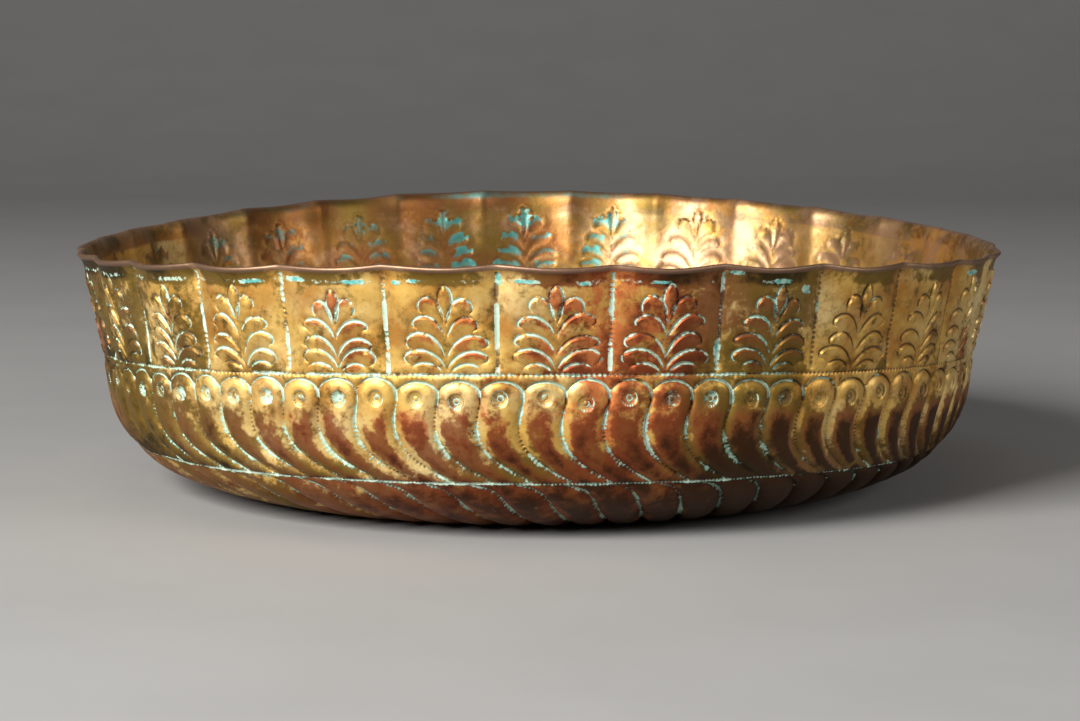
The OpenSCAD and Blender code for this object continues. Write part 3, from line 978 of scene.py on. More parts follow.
def rim_marks(flat):
    inner = np.repeat(np.linspace(0, 1, RIM_ROWS + 1), RIM_COLUMNS + 1)
    return frieze_marks(flat, 0.0, 0.0, inner)


frieze_band = Band(
    far=rim_up,
    edges=[ring_row(LINE_COLUMNS, 0), ring_row(RIM_COLUMNS, rim_up)],
    relief=frieze_relief,
    wrap=on_frieze,
    marks=frieze_marks,
    share=LINING_SHARE,
    fold=2 * rim_up + 2 * SHEET)
lining_band = frieze_band._replace(relief=lining_relief)
bead_rows = [ring_row(LINE_COLUMNS, BEAD_HALF / 2), ring_row(LINE_COLUMNS // 2, BEAD_HALF)]
lip_rows = [ring_row(RIM_COLUMNS, up) for up in np.arange(WALL_LEN - 1, rim_up, LIP_ROW_STEP)]
outer_drawn = bead_rows + [beside(sprays, OUTER_ROWS), dot_points] + lip_rows
inner_drawn = bead_rows + [beside(sprays, INNER_ROWS, LINING_EVERY)] + lip_rows
rim_map = rim_up + 2 * SHEET * np.arange(RIM_ROWS + 1) / RIM_ROWS

frieze = assemble("frieze_ring", [
    skin(frieze_band, outer_drawn, FRIEZE_STEP, 0.0),
    regular(along_ring(RIM_COLUMNS), [rim_up] * (RIM_ROWS + 1), rim_row, rim_map, rim_marks),
    skin(lining_band, inner_drawn, LINING_STEP, 1.0),
    closing(frieze_band, 0, LINE_COLUMNS, [frieze_band.fold + SHEET, frieze_band.fold]),
])


# %% [markdown]
# ## Gadroons
# Under the beaded line hangs a row of tongues. Each is outlined by a round arch on top and by two beaded
# grooves that start upright and sweep to the right until they run along the next line. A ring punch marks
# the head of each tongue, and the tongue itself is raised from inside. A groove's path is a bow to the left
# plus a sweep that grows with a high power of the way down, so the groove turns late and sharply.

# %% Gadroon strokes
ARCH_TOP = 1.1
ARCH_FOOT = 4.0
ARCH_HALF = 0.27
ARCH_SWELL = 0.55
ARCH_DEPTH = 0.42
ARCH_POINTS = 25
ARCH_SLIP = 0.18
GROOVE_TOP = 5.3
GROOVE_TOP_SLIP = 0.35
GROOVE_END = 0.4
GROOVE_POINTS = 200
GROOVE_HALF = 0.48
GROOVE_SWELL = 0.42
GROOVE_DEPTH = 0.5
GROOVE_SHALLOW = 0.4
GROOVE_NECK = 0.72
GROOVE_SWEEP = 6.4
GROOVE_TURN = 5
MARK_STEP = 0.86
MARK_FAINTEST = 0.7
MARK_THINNEST = 0.75
MARK_BROADEST = 1.15
FILLS = 3
FILL_SHORT = 1.08
FILL_LONG = 4.05
FILL_DEPTH = 0.5
FILL_MOST = 0.66
ARCH_FILL = 0.45
BOW = 1.2
BOW_SHARE = 0.8
RING_AT = 4.7
RING_ASIDE_SLIP = 0.3
RING_UP_SLIP = 0.25
RING_R = 1.5
RING_SLOPE = 0.34
RING_INNER_R = 0.55
RING_LINE = 0.26
RING_ROWS = (0.3, 0.55, 0.8, RING_R - RING_SLOPE / 2, RING_R, RING_R + RING_SLOPE / 2, RING_R + RING_SLOPE)


def filled_stretches(at, hand):
    """0 to 1 along a groove: 1 in the stretches that salt has filled to the brim."""
    middles = hand.uniform(0, at[-1], FILLS)
    runs = hand.uniform(FILL_SHORT, FILL_LONG, FILLS)
    return FILL_MOST * np.exp(-((at[:, None] - middles) / runs) ** 2).max(1)


def beaded_groove(path, hand):
    """A groove of punch marks set close together along a path, with a shallow neck between two."""
    run = run_along(path)
    marks = 2 * int(round(run[-1] / MARK_STEP)) + 1
    at = np.linspace(0, run[-1], marks)
    share = at / run[-1]
    path = np.stack([np.interp(at, run, path[:, i]) for i in (0, 1)], 1)
    fill = filled_stretches(at, hand)
    neck = np.arange(marks) % 2
    depth = np.where(neck, GROOVE_SHALLOW, 1.0) * hand.uniform(MARK_FAINTEST, 1.0, marks)
    depth = GROOVE_DEPTH * (depth * (1 - fill) + FILL_DEPTH * fill)
    half = (GROOVE_HALF + GROOVE_SWELL * np.sin(math.pi * share)) * np.where(neck, GROOVE_NECK, 1.0)
    open_share = hand.uniform(MARK_THINNEST, MARK_BROADEST, marks)
    filled_share = hand.uniform(MARK_THINNEST, 1.0, marks)
    half = half * (open_share * (1 - fill) + filled_share * fill)
    return Stroke(path, half, depth, 0, fill)


def gadroon_groove(start, top, hand):
    """Down from between two tongues: bowed to the left at first, then swept to the right."""
    down = np.linspace(top, BELLY_LEN - GROOVE_END, GROOVE_POINTS)
    bow = BOW * np.sin(math.pi * np.clip((down - top) / (BOW_SHARE * (BELLY_LEN - top)), 0, 1))
    sweep = ROUND * GROOVE_SWEEP / 360 * (down / BELLY_LEN) ** GROOVE_TURN
    return beaded_groove(np.stack([start - bow + sweep, -down], 1), hand)


def arch(middle, top, foot):
    """The round line over a tongue, from its left foot to its right, where it is broader."""
    lean = np.linspace(-math.pi / 2, math.pi / 2, ARCH_POINTS)
    path = np.stack([middle + GADROON_W / 2 * np.sin(lean), -foot + (foot - top) * np.cos(lean)], 1)
    half = np.linspace(1 - ARCH_SWELL, 1 + ARCH_SWELL, len(path)) * ARCH_HALF
    return Stroke(path, half, np.full(len(path), ARCH_DEPTH), 0, np.full(len(path), ARCH_FILL))


arches = []
grooves = []
rings = []
for i in range(GADROONS):
    middle = (i + 0.5) * GADROON_W
    arches.append(arch(middle, ARCH_TOP + HAND.normal(0, ARCH_SLIP), ARCH_FOOT))
    rings.append((middle + HAND.normal(0, RING_ASIDE_SLIP), -RING_AT + HAND.normal(0, RING_UP_SLIP)))
    top = GROOVE_TOP + HAND.normal(0, GROOVE_TOP_SLIP)
    grooves.append(gadroon_groove(i * GADROON_W, top, HAND))
rings = np.array(rings)
ring_salts = HAND.uniform(0, 1, GADROONS)
ring_points = [rings]
for radius in RING_ROWS:
    spin = np.linspace(0, 2 * math.pi, int(6 + 8 * radius), endpoint=False)
    ring_points += [rings + radius * np.array([math.cos(a), math.sin(a)]) for a in spin]
ring_points = np.vstack(ring_points)
print("gadroons:", len(arches), "rings:", len(rings))


# %% Gadroon belly
WHORL_BEADS = 720
WHORL_COLUMNS = 2 * WHORL_BEADS
TONGUE_ROUND = 3.3
HEAD_ROUND = 1.3
HEAD_RISE = 0.6
HEAD_BROWN = 0.12
HEAD_RED = 0.06
FILL_GAIN = 0.85
FILL_LACK = 0.2
RING_DEPTH = 0.5
CIRCLE_SHARE = 0.3
# The edge and dish masks reach the material's painted shadow: a dark outline round each ring and a darker
# dish, partly under salt
EDGE_MASK = 0.75
EDGE_SALT = 0.2
DISH_MASK = 0.32
DISH_SALT = 0.3
HEAD_FADE = 1.6
TAIL_FADE = 2.0
LINE_FADE = 1.0
HEAD_END = 4.5
BODY_FROM = 11.0
BODY_EDGE = 0.45
LOW_FROM = 0.375
# Painted shade on the lower belly, where little light falls
LOW_SHADE = 0.45
FLOOR_BROWN = 0.65
INNER_SHARE = 0.5
BELLY_STEP = 0.8
BELLY_INNER_STEP = 1.7
BELLY_EVERY = 3


def ring_punch(flat):
    """Depth and mask of the ring punches: a sunk dish with a small circle in it."""
    away, number = nearest_mark(flat, rings, RING_R + RING_SLOPE)
    dish = eased((RING_R - away) / RING_SLOPE + 0.5)
    edge = dish * (1 - dish) * 4
    circle = (1 - np.clip(np.abs(away - RING_INNER_R) / RING_LINE, 0, 1) ** 2) ** 2
    salt = ring_salts[number]
    sunk = (DISH_MASK + DISH_SALT * salt) * dish + CIRCLE_SHARE * circle
    mask = np.maximum(edge * (EDGE_MASK + EDGE_SALT * salt), sunk)
    return RING_DEPTH * (dish + CIRCLE_SHARE * circle), mask


def second_beads(flat, foot):
    return beads(flat - (0, foot), WHORL_BEADS)


def groove_fill(line, fill):
    """More salt in the filled stretches of a groove, and less between them."""
    return (FILL_GAIN * fill - FILL_LACK) * eased(2 * line)


def belly_relief(flat):
    """Lift of the surface, line mask, body mask and salt at flat points."""
    pressed, line, _, fill, near = press(flat, arches + grooves, TONGUE_ROUND)
    ringed, ring_mask = ring_punch(flat)
    first, first_mask = beads(flat, BEADS)
    second, second_mask = second_beads(flat, -BELLY_LEN)
    down = -flat[:, 1]
    below = eased((down - HEAD_END) / (BODY_FROM - HEAD_END))
    tongue = np.sin(math.pi / 2 * np.minimum(1, near / (HEAD_ROUND + (TONGUE_ROUND - HEAD_ROUND) * below)))
    fade = eased(down / HEAD_FADE) * eased((BELLY_LEN - down) / TAIL_FADE)
    lift = GADROON_DEPTH * (HEAD_RISE + (1 - HEAD_RISE) * below) * (tongue - 0.5) * fade
    lift -= np.max([pressed * eased(down / LINE_FADE), ringed, first, second], 0)
    chased = np.max([line, ring_mask, first_mask, second_mask], 0)
    body = eased((tongue - BODY_EDGE) / (1 - BODY_EDGE)) * below
    return lift, chased, body, groove_fill(line, fill)


def belly_marks(flat, chased, body, fill, inner):
    turn = turn_of(flat)
    low = eased((-flat[:, 1] / BELLY_LEN - LOW_FROM) / (1 - LOW_FROM))
    head = 1 - body
    # Tarnish on the tongues' bodies, with painted shade at the right, and painted shade on the lower belly
    brown = by_turn(turn, BELLY_BROWN_AND_SHADE) * (body + LOW_SHADE * low)
    brown = brown + (by_turn(turn, FRIEZE_BROWN_AND_SHADE) + HEAD_BROWN) * head
    # The lining's brown: tarnish with painted shade and a painted highlight, and the floor's brown low down
    lining_brown_shade_and_highlight = by_turn(turn, LINING_BROWN_SHADE_AND_HIGHLIGHT) * (1 - low) + FLOOR_BROWN * low
    brown = brown * (1 - inner) + lining_brown_shade_and_highlight * inner
    red = (by_turn(turn, FRIEZE_RED) + HEAD_RED) * head + by_turn(turn, BELLY_RED) * body
    return painted(turn, chased, brown, red, 0.0, inner, fill=fill)


belly_band = Band(
    far=-BELLY_LEN,
    edges=[ring_row(LINE_COLUMNS, 0), ring_row(WHORL_COLUMNS, -BELLY_LEN)],
    relief=belly_relief,
    wrap=on_belly,
    marks=belly_marks,
    share=INNER_SHARE,
    fold=2 * SHEET)
belly_rows = [ring_row(LINE_COLUMNS, -BEAD_HALF / 2), ring_row(BEADS, -BEAD_HALF)]
belly_rows.append(ring_row(WHORL_COLUMNS, BEAD_HALF / 2 - BELLY_LEN))
belly_rows.append(ring_row(WHORL_BEADS, BEAD_HALF - BELLY_LEN))
outer_drawn = belly_rows + [beside(arches + grooves, OUTER_ROWS), ring_points]
inner_drawn = belly_rows + [beside(arches + grooves, INNER_ROWS, BELLY_EVERY)]

belly = assemble("gadroon_belly", [
    skin(belly_band, outer_drawn, BELLY_STEP, 0.0),
    skin(belly_band, inner_drawn, BELLY_INNER_STEP, 1.0),
    closing(belly_band, 0, LINE_COLUMNS, [0, 2 * SHEET]),
    closing(belly_band, -BELLY_LEN, WHORL_COLUMNS, [-BELLY_LEN - SHEET, -BELLY_LEN]),
])


# %% [markdown]
# ## Whorl, floor and finger hollow
# Under the second beaded line the grooves leave along it and turn in towards the floor, like the arms of a
# whirlpool. The floor is flat where the bowl stands, and in its middle the sheet is pushed up into a hollow
# for the fingers, with a hole for the rivet.

# %% Whorl strokes
WHORL_FADE = 12.0
WHORL_START = 0.5
WHORL_END = 3.0
WHORL_POINTS = 300
WHORL_TURN = 1.2
WHORL_HEAD_FADE = 2.0
LEAST_DEPTH = 1e-3
CROWN_POWER = 3


def whorl_groove(start, hand):
    """Leaves the line almost along it, then turns down and in towards the floor."""
    down = np.linspace(WHORL_START, WHORL_LEN - WHORL_END, WHORL_POINTS)
    leaving = WHORL_LEAVE * (1 - np.exp(-down / WHORL_BEND))
    turning = (WHORL_SWEEP - WHORL_LEAVE) * (down / WHORL_LEN) ** WHORL_TURN
    groove = beaded_groove(np.stack([start + ROUND / 360 * (leaving + turning), -down], 1), hand)
    shallow = eased((WHORL_LEN + groove.path[:, 1]) / WHORL_FADE)
    return groove._replace(depth=groove.depth * shallow + LEAST_DEPTH)


whorl_grooves = [whorl_groove(i * WHORL_W, HAND) for i in range(WHORLS)]
print("whorl grooves:", len(whorl_grooves))


def whorl_relief(flat):
    pressed, line, _, fill, near = press(flat, whorl_grooves, TONGUE_ROUND)
    second, second_mask = second_beads(flat, 0)
    fade = eased(-flat[:, 1] / WHORL_HEAD_FADE) * eased((WHORL_LEN + flat[:, 1]) / WHORL_FADE)
    # No rib reaches below the floor that the bowl stands on
    height = belly_profile(WHORL_LEN + flat[:, 1])[0][:, 1]
    fade = np.minimum(fade, height / GADROON_DEPTH)
    tongue = np.sin(math.pi / 2 * near / TONGUE_ROUND)
    lift = GADROON_DEPTH * (tongue - 0.5) * fade - np.maximum(pressed, second)
    return lift, np.maximum(line, second_mask), tongue ** CROWN_POWER, groove_fill(line, fill)


# %% Whorl base
# Painted shade on the whorl under the belly, darker than its tarnish alone, most at the back and right
WHORL_BROWN_AND_SHADE = {-180: 1.2, -110: 0.95, -75: 0.75, -35: 0.78, -18: 1.0, 5: 1.2}
WHORL_SALT = 0.26
WHORL_CROWN_BROWN = 0.3
FLOOR_COLUMNS = 360
FLOOR_ROWS = 14
DOME_ROWS = 16
CROWN_ROWS = 4
WHORL_STEP = 1.5
WHORL_INNER_STEP = 2.2
WHORL_EVERY = 4


def whorl_marks(flat, chased, body, fill, inner):
    turn = turn_of(flat)
    # The whorl's brown: the belly's tarnish and shade times the whorl's painted shade, more on the crowns of
    # its ribs
    brown = by_turn(turn, BELLY_BROWN_AND_SHADE) * (by_turn(turn, WHORL_BROWN_AND_SHADE) + WHORL_CROWN_BROWN * body)
    brown = brown * (1 - inner) + FLOOR_BROWN * inner
    return painted(turn, chased, brown, by_turn(turn, BELLY_RED), 0.0, inner, fill=fill + WHORL_SALT)


def hollow_dome(lean):
    """Places on the dome of the finger hollow by lean from its crown, and the directions out of them."""
    places = np.stack([CROWN_R + (HOLLOW_R - CROWN_R) * np.sin(lean), HOLLOW_H * np.cos(lean)], 1)
    slope = np.stack([(HOLLOW_R - CROWN_R) * np.cos(lean), -HOLLOW_H * np.sin(lean)], 1)
    return places, outward(slope)


def floor_profile(inner):
    """Points as (radius, height) from the floor's edge in, up the finger hollow to the rivet's hole."""
    depth = SHEET if inner else 0
    flat_part = np.stack([np.linspace(FLOOR_R, HOLLOW_R + depth, FLOOR_ROWS), np.full(FLOOR_ROWS, depth)], 1)
    dome, dome_out = hollow_dome(np.linspace(math.pi / 2, 0, DOME_ROWS)[1:])
    crown_radii = np.linspace(CROWN_R, HOLE_R, CROWN_ROWS + 1)[1:]
    crown = np.stack([crown_radii, np.full(CROWN_ROWS, HOLLOW_H + depth)], 1)
    return np.vstack([flat_part, dome - depth * dome_out, crown])


def true_circle(flat, radius, height):
    """Places in metres on a level circle, at the turns of flat points."""
    angle = np.radians(turn_of(flat))
    return MM * np.stack([radius * np.cos(angle), radius * np.sin(angle), np.full(len(flat), height)], 1)


def floor_skin(inner):
    """The floor, the hollow and its crown, from the whorl's edge to the rivet's hole."""
    profile = floor_profile(inner)
    ups = -run_along(profile)

    def row(flat, i):
        return true_circle(flat, *profile[i])

    def marks(flat):
        return whorl_marks(flat, 0.0, 0.0, 0.0, float(inner))

    sheet_ups = 2 * SHEET + WHORL_LEN - ups if inner else ups - WHORL_LEN
    return regular(along_ring(FLOOR_COLUMNS), ups, row, sheet_ups, marks)


def hole_skin():
    """The wall of the rivet's hole."""
    def row(flat, i):
        return true_circle(flat, HOLE_R, HOLLOW_H + SHEET * i)

    low = -WHORL_LEN - run_along(floor_profile(False))[-1]
    return regular(along_ring(FLOOR_COLUMNS), [0, 1], row, [low, low - SHEET], plain_marks(brown=FLOOR_BROWN))


whorl_band = Band(
    far=-WHORL_LEN,
    edges=[ring_row(WHORL_COLUMNS, 0), ring_row(FLOOR_COLUMNS, -WHORL_LEN)],
    relief=whorl_relief,
    wrap=on_whorl,
    marks=whorl_marks,
    share=INNER_SHARE,
    fold=2 * SHEET)
whorl_rows = [ring_row(WHORL_COLUMNS, -BEAD_HALF / 2), ring_row(WHORL_BEADS, -BEAD_HALF)]
outer_drawn = whorl_rows + [beside(whorl_grooves, OUTER_ROWS)]
inner_drawn = whorl_rows + [beside(whorl_grooves, INNER_ROWS, WHORL_EVERY)]

base = assemble("whorl_base", [
    skin(whorl_band, outer_drawn, WHORL_STEP, 0.0),
    skin(whorl_band, inner_drawn, WHORL_INNER_STEP, 1.0),
    floor_skin(False),
    floor_skin(True),
    hole_skin(),
    closing(whorl_band, 0, WHORL_COLUMNS, [0, 2 * SHEET]),
])

for piece in (frieze, belly, base):
    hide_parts("bowl_shell")


# %% [markdown]
# ## Boss cap
# A cap of thin sheet covers the hollow from inside. It is a flower of sixteen petals, so one petal is shaped
# from a flat grid: the grid's length runs from the rivet's hole over the dome and out on the flange, and its
# width fills one sixteenth of a turn. The petal is then spun round the axis, and a Solidify modifier gives
# the sheet its thickness.

# %% One petal
PETALS = 16
PETAL_DEPTH = 0.7
PETAL_COLUMNS = 24
CAP_T = 0.9
CAP_GAP = 0.5
CAP_FLANGE = 3.0
CAP_ROWS = 64
CAP_FOOT_R = HOLLOW_R + SHEET + PETAL_DEPTH + CAP_GAP
CAP_R = CAP_FOOT_R + CAP_T + CAP_FLANGE
HEAD_SEAT = HOLLOW_H + SHEET + CAP_T
CAP_DOT_R = 0.6
CAP_DOTS = 3
CAP_DOT_DEPTH = 0.3
CAP_LEAN = 0.44 * math.pi
CAP_POINTS = 40
CAP_FOOT_ROOM = 0.4
HEAD_ROOM = 0.6
DOME_FADE = 2.0
PETAL_POWER = 0.6
RIB_HALF = 0.4
RIB_DEPTH = 0.22
RIB_FROM = 4.0
RIB_FADE = 3.0
BETWEEN_MARK = 1.1
RIB_MARK = 0.6
CAP_MARKS = {"mint": 0.4, "brown": 0.4, "red": 0.35}

lean = np.linspace(0, CAP_LEAN, CAP_POINTS)
gap = SHEET + CAP_T + (PETAL_DEPTH + CAP_GAP) * np.sqrt(np.sin(lean))
dome, dome_out = hollow_dome(lean)
dome -= gap[:, None] * dome_out
cap_foot = (CAP_FOOT_R + CAP_T + CAP_FOOT_ROOM, SHEET + CAP_T)
cap_line = np.vstack([(HOLE_R, HEAD_SEAT), dome, cap_foot, (CAP_R, SHEET + CAP_T)])
cap_run = run_along(cap_line)
dome_start = cap_run[1]
dome_end = cap_run[-3]

bpy.ops.object.select_all(action="DESELECT")
bpy.ops.mesh.primitive_grid_add(x_subdivisions=PETAL_COLUMNS, y_subdivisions=CAP_ROWS, size=1)
cap = bpy.context.object
cap.name = "petal_cap"
grid = np.array([v.co[:2] for v in cap.data.vertices]) + 0.5
turn = 2 * math.pi / PETALS * grid[:, 0]
run = cap_run[-1] * grid[:, 1]
radius, height = (np.interp(run, cap_run, cap_line[:, i]) for i in (0, 1))
aside = np.abs(grid[:, 0] - 0.5) * 2 * math.pi / PETALS * radius
on_dome = eased((run - dome_start - HEAD_ROOM) / DOME_FADE) * eased((dome_end - run) / DOME_FADE)
between = (1 - np.sin(math.pi * grid[:, 0]) ** PETAL_POWER) * on_dome
midrib = np.exp(-(aside / RIB_HALF) ** 2) * on_dome * eased((run - dome_start - RIB_FROM) / RIB_FADE)
dot_turn = (grid[:, 0] * CAP_DOTS % 1 - 0.5) * 2 * math.pi / PETALS / CAP_DOTS * radius
dot_away = np.hypot(dot_turn, radius - CAP_R + CAP_FLANGE / 2)
punched = np.clip(1 - (dot_away / CAP_DOT_R) ** 2, 0, 1)
height -= PETAL_DEPTH * between + RIB_DEPTH * midrib + CAP_DOT_DEPTH * punched
places = MM * np.stack([radius * np.cos(turn), radius * np.sin(turn), height], 1)
cap.data.vertices.foreach_set("co", places.ravel())
pressed_in = np.clip(BETWEEN_MARK * between + RIB_MARK * midrib + punched, 0, 1).astype(np.float32)
cap.data.attributes.new("chased", "FLOAT", "POINT").data.foreach_set("value", pressed_in)
for mark, amount in CAP_MARKS.items():
    even = np.full(len(places), amount, np.float32)
    cap.data.attributes.new(mark, "FLOAT", "POINT").data.foreach_set("value", even)
print("points in one petal:", len(places))


# %% Sixteen petals
bpy.ops.object.mode_set(mode="EDIT")
bpy.ops.mesh.select_all(action="SELECT")
bpy.ops.mesh.spin(
    steps=PETALS - 1, dupli=True, angle=2 * math.pi * (PETALS - 1) / PETALS,
    center=(0, 0, 0), axis=(0, 0, 1))
bpy.ops.mesh.select_all(action="SELECT")
bpy.ops.mesh.remove_doubles(threshold=MERGE)
bpy.ops.mesh.normals_make_consistent(inside=False)
bpy.ops.object.mode_set(mode="OBJECT")
if cap.data.polygons[0].normal.z < 0:
    cap.data.flip_normals()
sheet = cap.modifiers.new("sheet", "SOLIDIFY")
sheet.thickness = CAP_T * MM
sheet.offset = -1
bpy.ops.object.modifier_apply(modifier="sheet")
bpy.ops.object.shade_smooth_by_angle(angle=SMOOTH_UNDER)
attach(cap, "root")
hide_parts("boss_cap")
print("cap faces:", len(cap.data.polygons))


# %% [markdown]
# ## Rivet and rove
# The rivet's head is half a ball pressed flat, made from a sphere that is cut at its middle. Its open edge
# is then drawn in to the shank, down through the sheets and out again into the peened tail, one extrusion
# after another, as the metal itself is spread by the hammer.

# %% Rivet
SHANK_R = 1.5
HEAD_R = 4.0
HEAD_H = 2.4
TAIL_R = 2.6
TAIL_H = 1.2
ROVE_R = 4.2
ROVE_T = 0.8
ROVE_SEAT = HOLLOW_H - ROVE_T
TAIL_STEPS = 6
HEAD_SEGMENTS = 48
HEAD_RINGS = 24

bpy.ops.object.select_all(action="DESELECT")
bpy.ops.mesh.primitive_uv_sphere_add(segments=HEAD_SEGMENTS, ring_count=HEAD_RINGS, radius=HEAD_R * MM)
rivet = bpy.context.object
rivet.name = "domed_rivet"
bpy.ops.object.mode_set(mode="EDIT")
bpy.ops.mesh.select_all(action="SELECT")
bpy.ops.mesh.bisect(plane_co=(0, 0, 0), plane_no=(0, 0, 1), clear_inner=True)
bpy.ops.mesh.select_all(action="SELECT")
bpy.ops.transform.resize(value=(1, 1, HEAD_H / HEAD_R), center_override=(0, 0, 0))
bpy.ops.transform.translate(value=(0, 0, HEAD_SEAT * MM))
bpy.ops.mesh.select_all(action="DESELECT")
bpy.ops.mesh.select_non_manifold()


def draw_edge(radius, height, last_radius, last_height):
    """Extrudes the open edge to another radius and height."""
    bpy.ops.mesh.extrude_region_move(
        TRANSFORM_OT_translate={"value": (0, 0, (height - last_height) * MM)})
    share = radius / last_radius
    bpy.ops.transform.resize(value=(share, share, 1), center_override=(0, 0, 0))


edge_line = [(HEAD_R, HEAD_SEAT), (SHANK_R, HEAD_SEAT), (SHANK_R, ROVE_SEAT), (TAIL_R, ROVE_SEAT)]
for step in range(1, TAIL_STEPS):
    lean = math.pi / 2 * step / TAIL_STEPS
    edge_line.append((TAIL_R * math.cos(lean), ROVE_SEAT - TAIL_H * math.sin(lean)))
for last, here in zip(edge_line, edge_line[1:]):
    draw_edge(*here, *last)
bpy.ops.mesh.extrude_region_move(
    TRANSFORM_OT_translate={"value": (0, 0, (ROVE_SEAT - TAIL_H - edge_line[-1][1]) * MM)})
bpy.ops.mesh.merge(type="CENTER")
turned_out()
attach(rivet, "root")
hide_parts("boss_rivet")
print("rivet faces:", len(rivet.data.polygons))


# %% Rove
ROVE_BEVEL = 0.15
ROVE_SIDES = 64

bpy.ops.object.select_all(action="DESELECT")
bpy.ops.mesh.primitive_cylinder_add(
    vertices=ROVE_SIDES, radius=ROVE_R * MM, depth=ROVE_T * MM,
    location=(0, 0, (ROVE_SEAT + ROVE_T / 2) * MM))
rove = bpy.context.object
rove.name = "round_rove"
bpy.ops.object.transform_apply(location=True)
bpy.ops.object.mode_set(mode="EDIT")
bpy.ops.mesh.select_all(action="DESELECT")
bpy.ops.mesh.select_face_by_sides(number=ROVE_SIDES)
bpy.ops.mesh.bevel(offset=ROVE_BEVEL * MM, segments=2, affect="EDGES")
bpy.ops.mesh.select_all(action="DESELECT")
bpy.ops.mesh.select_face_by_sides(number=ROVE_SIDES)
bpy.ops.mesh.inset(thickness=(ROVE_R - ROVE_BEVEL - HOLE_R) * MM)
bpy.ops.mesh.bridge_edge_loops()
turned_out()
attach(rove, "root")
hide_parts("rivet_rove")
print("rove faces:", len(rove.data.polygons))


# %% [markdown]
# ## Node sums in plain Python
# A material here is a graph of nodes, and most of the graph is arithmetic. A small class wraps one output of
# a node, so that the arithmetic can be written as a sum and still becomes nodes that anyone can open.

# %% Node sums
BUMP_STRENGTH = 0.5
BUMP_DEPTH = 0.25


class Shade:
    """One output of a node in a material."""

    def __init__(self, tree, socket=None):
        self.tree = tree
        self.socket = socket

    def add(self, kind, values=None, output=0, **settings):
        """Adds a node: its settings first, then the numbers or links of its inputs."""
        node = self.tree.nodes.new(kind)
        for name, setting in settings.items():
            setattr(node, name, setting)
        for name, value in (values or {}).items():
            if isinstance(value, Shade):
                self.tree.links.new(value.socket, node.inputs[name])
            else:
                node.inputs[name].default_value = value
        return Shade(self.tree, node.outputs[output])

    def math(self, operation, *values):
        return self.add("ShaderNodeMath", dict(enumerate(values)), operation=operation)

    def __add__(self, other):
        return self.math("ADD", self, other)

    __radd__ = __add__

    def __mul__(self, other):
        return self.math("MULTIPLY", self, other)

    __rmul__ = __mul__

    def __sub__(self, other):
        return self.math("SUBTRACT", self, other)

    def __rsub__(self, other):
        return self.math("SUBTRACT", other, self)

    def most(self, other):
        return self.math("MAXIMUM", self, other)

    def step(self, low, high):
        """0 under low, 1 over high, smooth between."""
        values = {"Value": self, "From Min": low, "From Max": high}
        return self.add("ShaderNodeMapRange", values, interpolation_type="SMOOTHSTEP")

    def mix(self, none, full):
        """Colour none where this is 0, and full where it is 1."""
        values = {0: self, 6: none, 7: full}
        return self.add("ShaderNodeMix", values, 2, data_type="RGBA")


def noise_maker(root):
    """Noise by the size of its blotches in millimetres. Each seed gives another pattern."""
    where = root.add("ShaderNodeTexCoord", output="Object")

    def noise(size, seed, detail=4.0, rough=0.55, stretch=0.0):
        values = {"Vector": where, "W": seed, "Scale": 1 / (size * MM), "Detail": detail, "Roughness": rough}
        values["Distortion"] = stretch
        return root.add("ShaderNodeTexNoise", values, noise_dimensions="4D")

    return noise


def new_material(name, finish):
    """A material whose finish gives colour, metal, roughness and the height for a fine bump."""
    material = bpy.data.materials.new(name)
    material.use_nodes = True
    tree = material.node_tree
    root = Shade(tree)
    colour, metal, rough, height = finish(root, noise_maker(root))
    bump = {"Height": height, "Strength": BUMP_STRENGTH, "Distance": BUMP_DEPTH * MM}
    normal = root.add("ShaderNodeBump", bump)
    shader = tree.nodes["Principled BSDF"]
    shades = {"Base Color": colour, "Metallic": metal, "Roughness": rough, "Normal": normal}
    for socket, shade in shades.items():
        tree.links.new(shade.socket, shader.inputs[socket])
    return material


# %% [markdown]
# ## Worn gilding on copper
# From the metal up: red copper, a thin skin of mercury gilding, brown tarnish where the gilding is thin, and
# on top the salts that damp leaves: pale mint in the lines and turquoise in the corner under the lip. Each
# layer is laid over the last with a mask, and the mask is the amount painted on the mesh, broken up by
# noise. The thresholds and shares in these sums were set against the photo.
# The brown amount also carries painted shade, so the tarnish and soot masks paint shade too, and where it is
# nearly none the lining shows gold as a painted highlight.

# %% Gilt copper
GOLD = (0.61, 0.38, 0.09, 1)
GOLD_PALE = (0.74, 0.57, 0.26, 1)
GOLD_DEEP = (0.42, 0.195, 0.035, 1)
OLIVE = (0.16, 0.10, 0.018, 1)
RED_COPPER = (0.50, 0.12, 0.035, 1)
MAROON = (0.22, 0.05, 0.018, 1)
BROWN = (0.17, 0.058, 0.017, 1)
TAN = (0.15, 0.095, 0.03, 1)
ROSE = (0.27, 0.155, 0.08, 1)
SOOT_AND_SHADOW = (0.02, 0.013, 0.005, 1)
MINT_SALT = (0.34, 0.45, 0.36, 1)
CHALK = (0.45, 0.52, 0.43, 1)
SEA_SALT = (0.12, 0.35, 0.28, 1)
TEAL_SALT = (0.06, 0.31, 0.29, 1)
BARE = (0.24, 0.145, 0.1, 1)


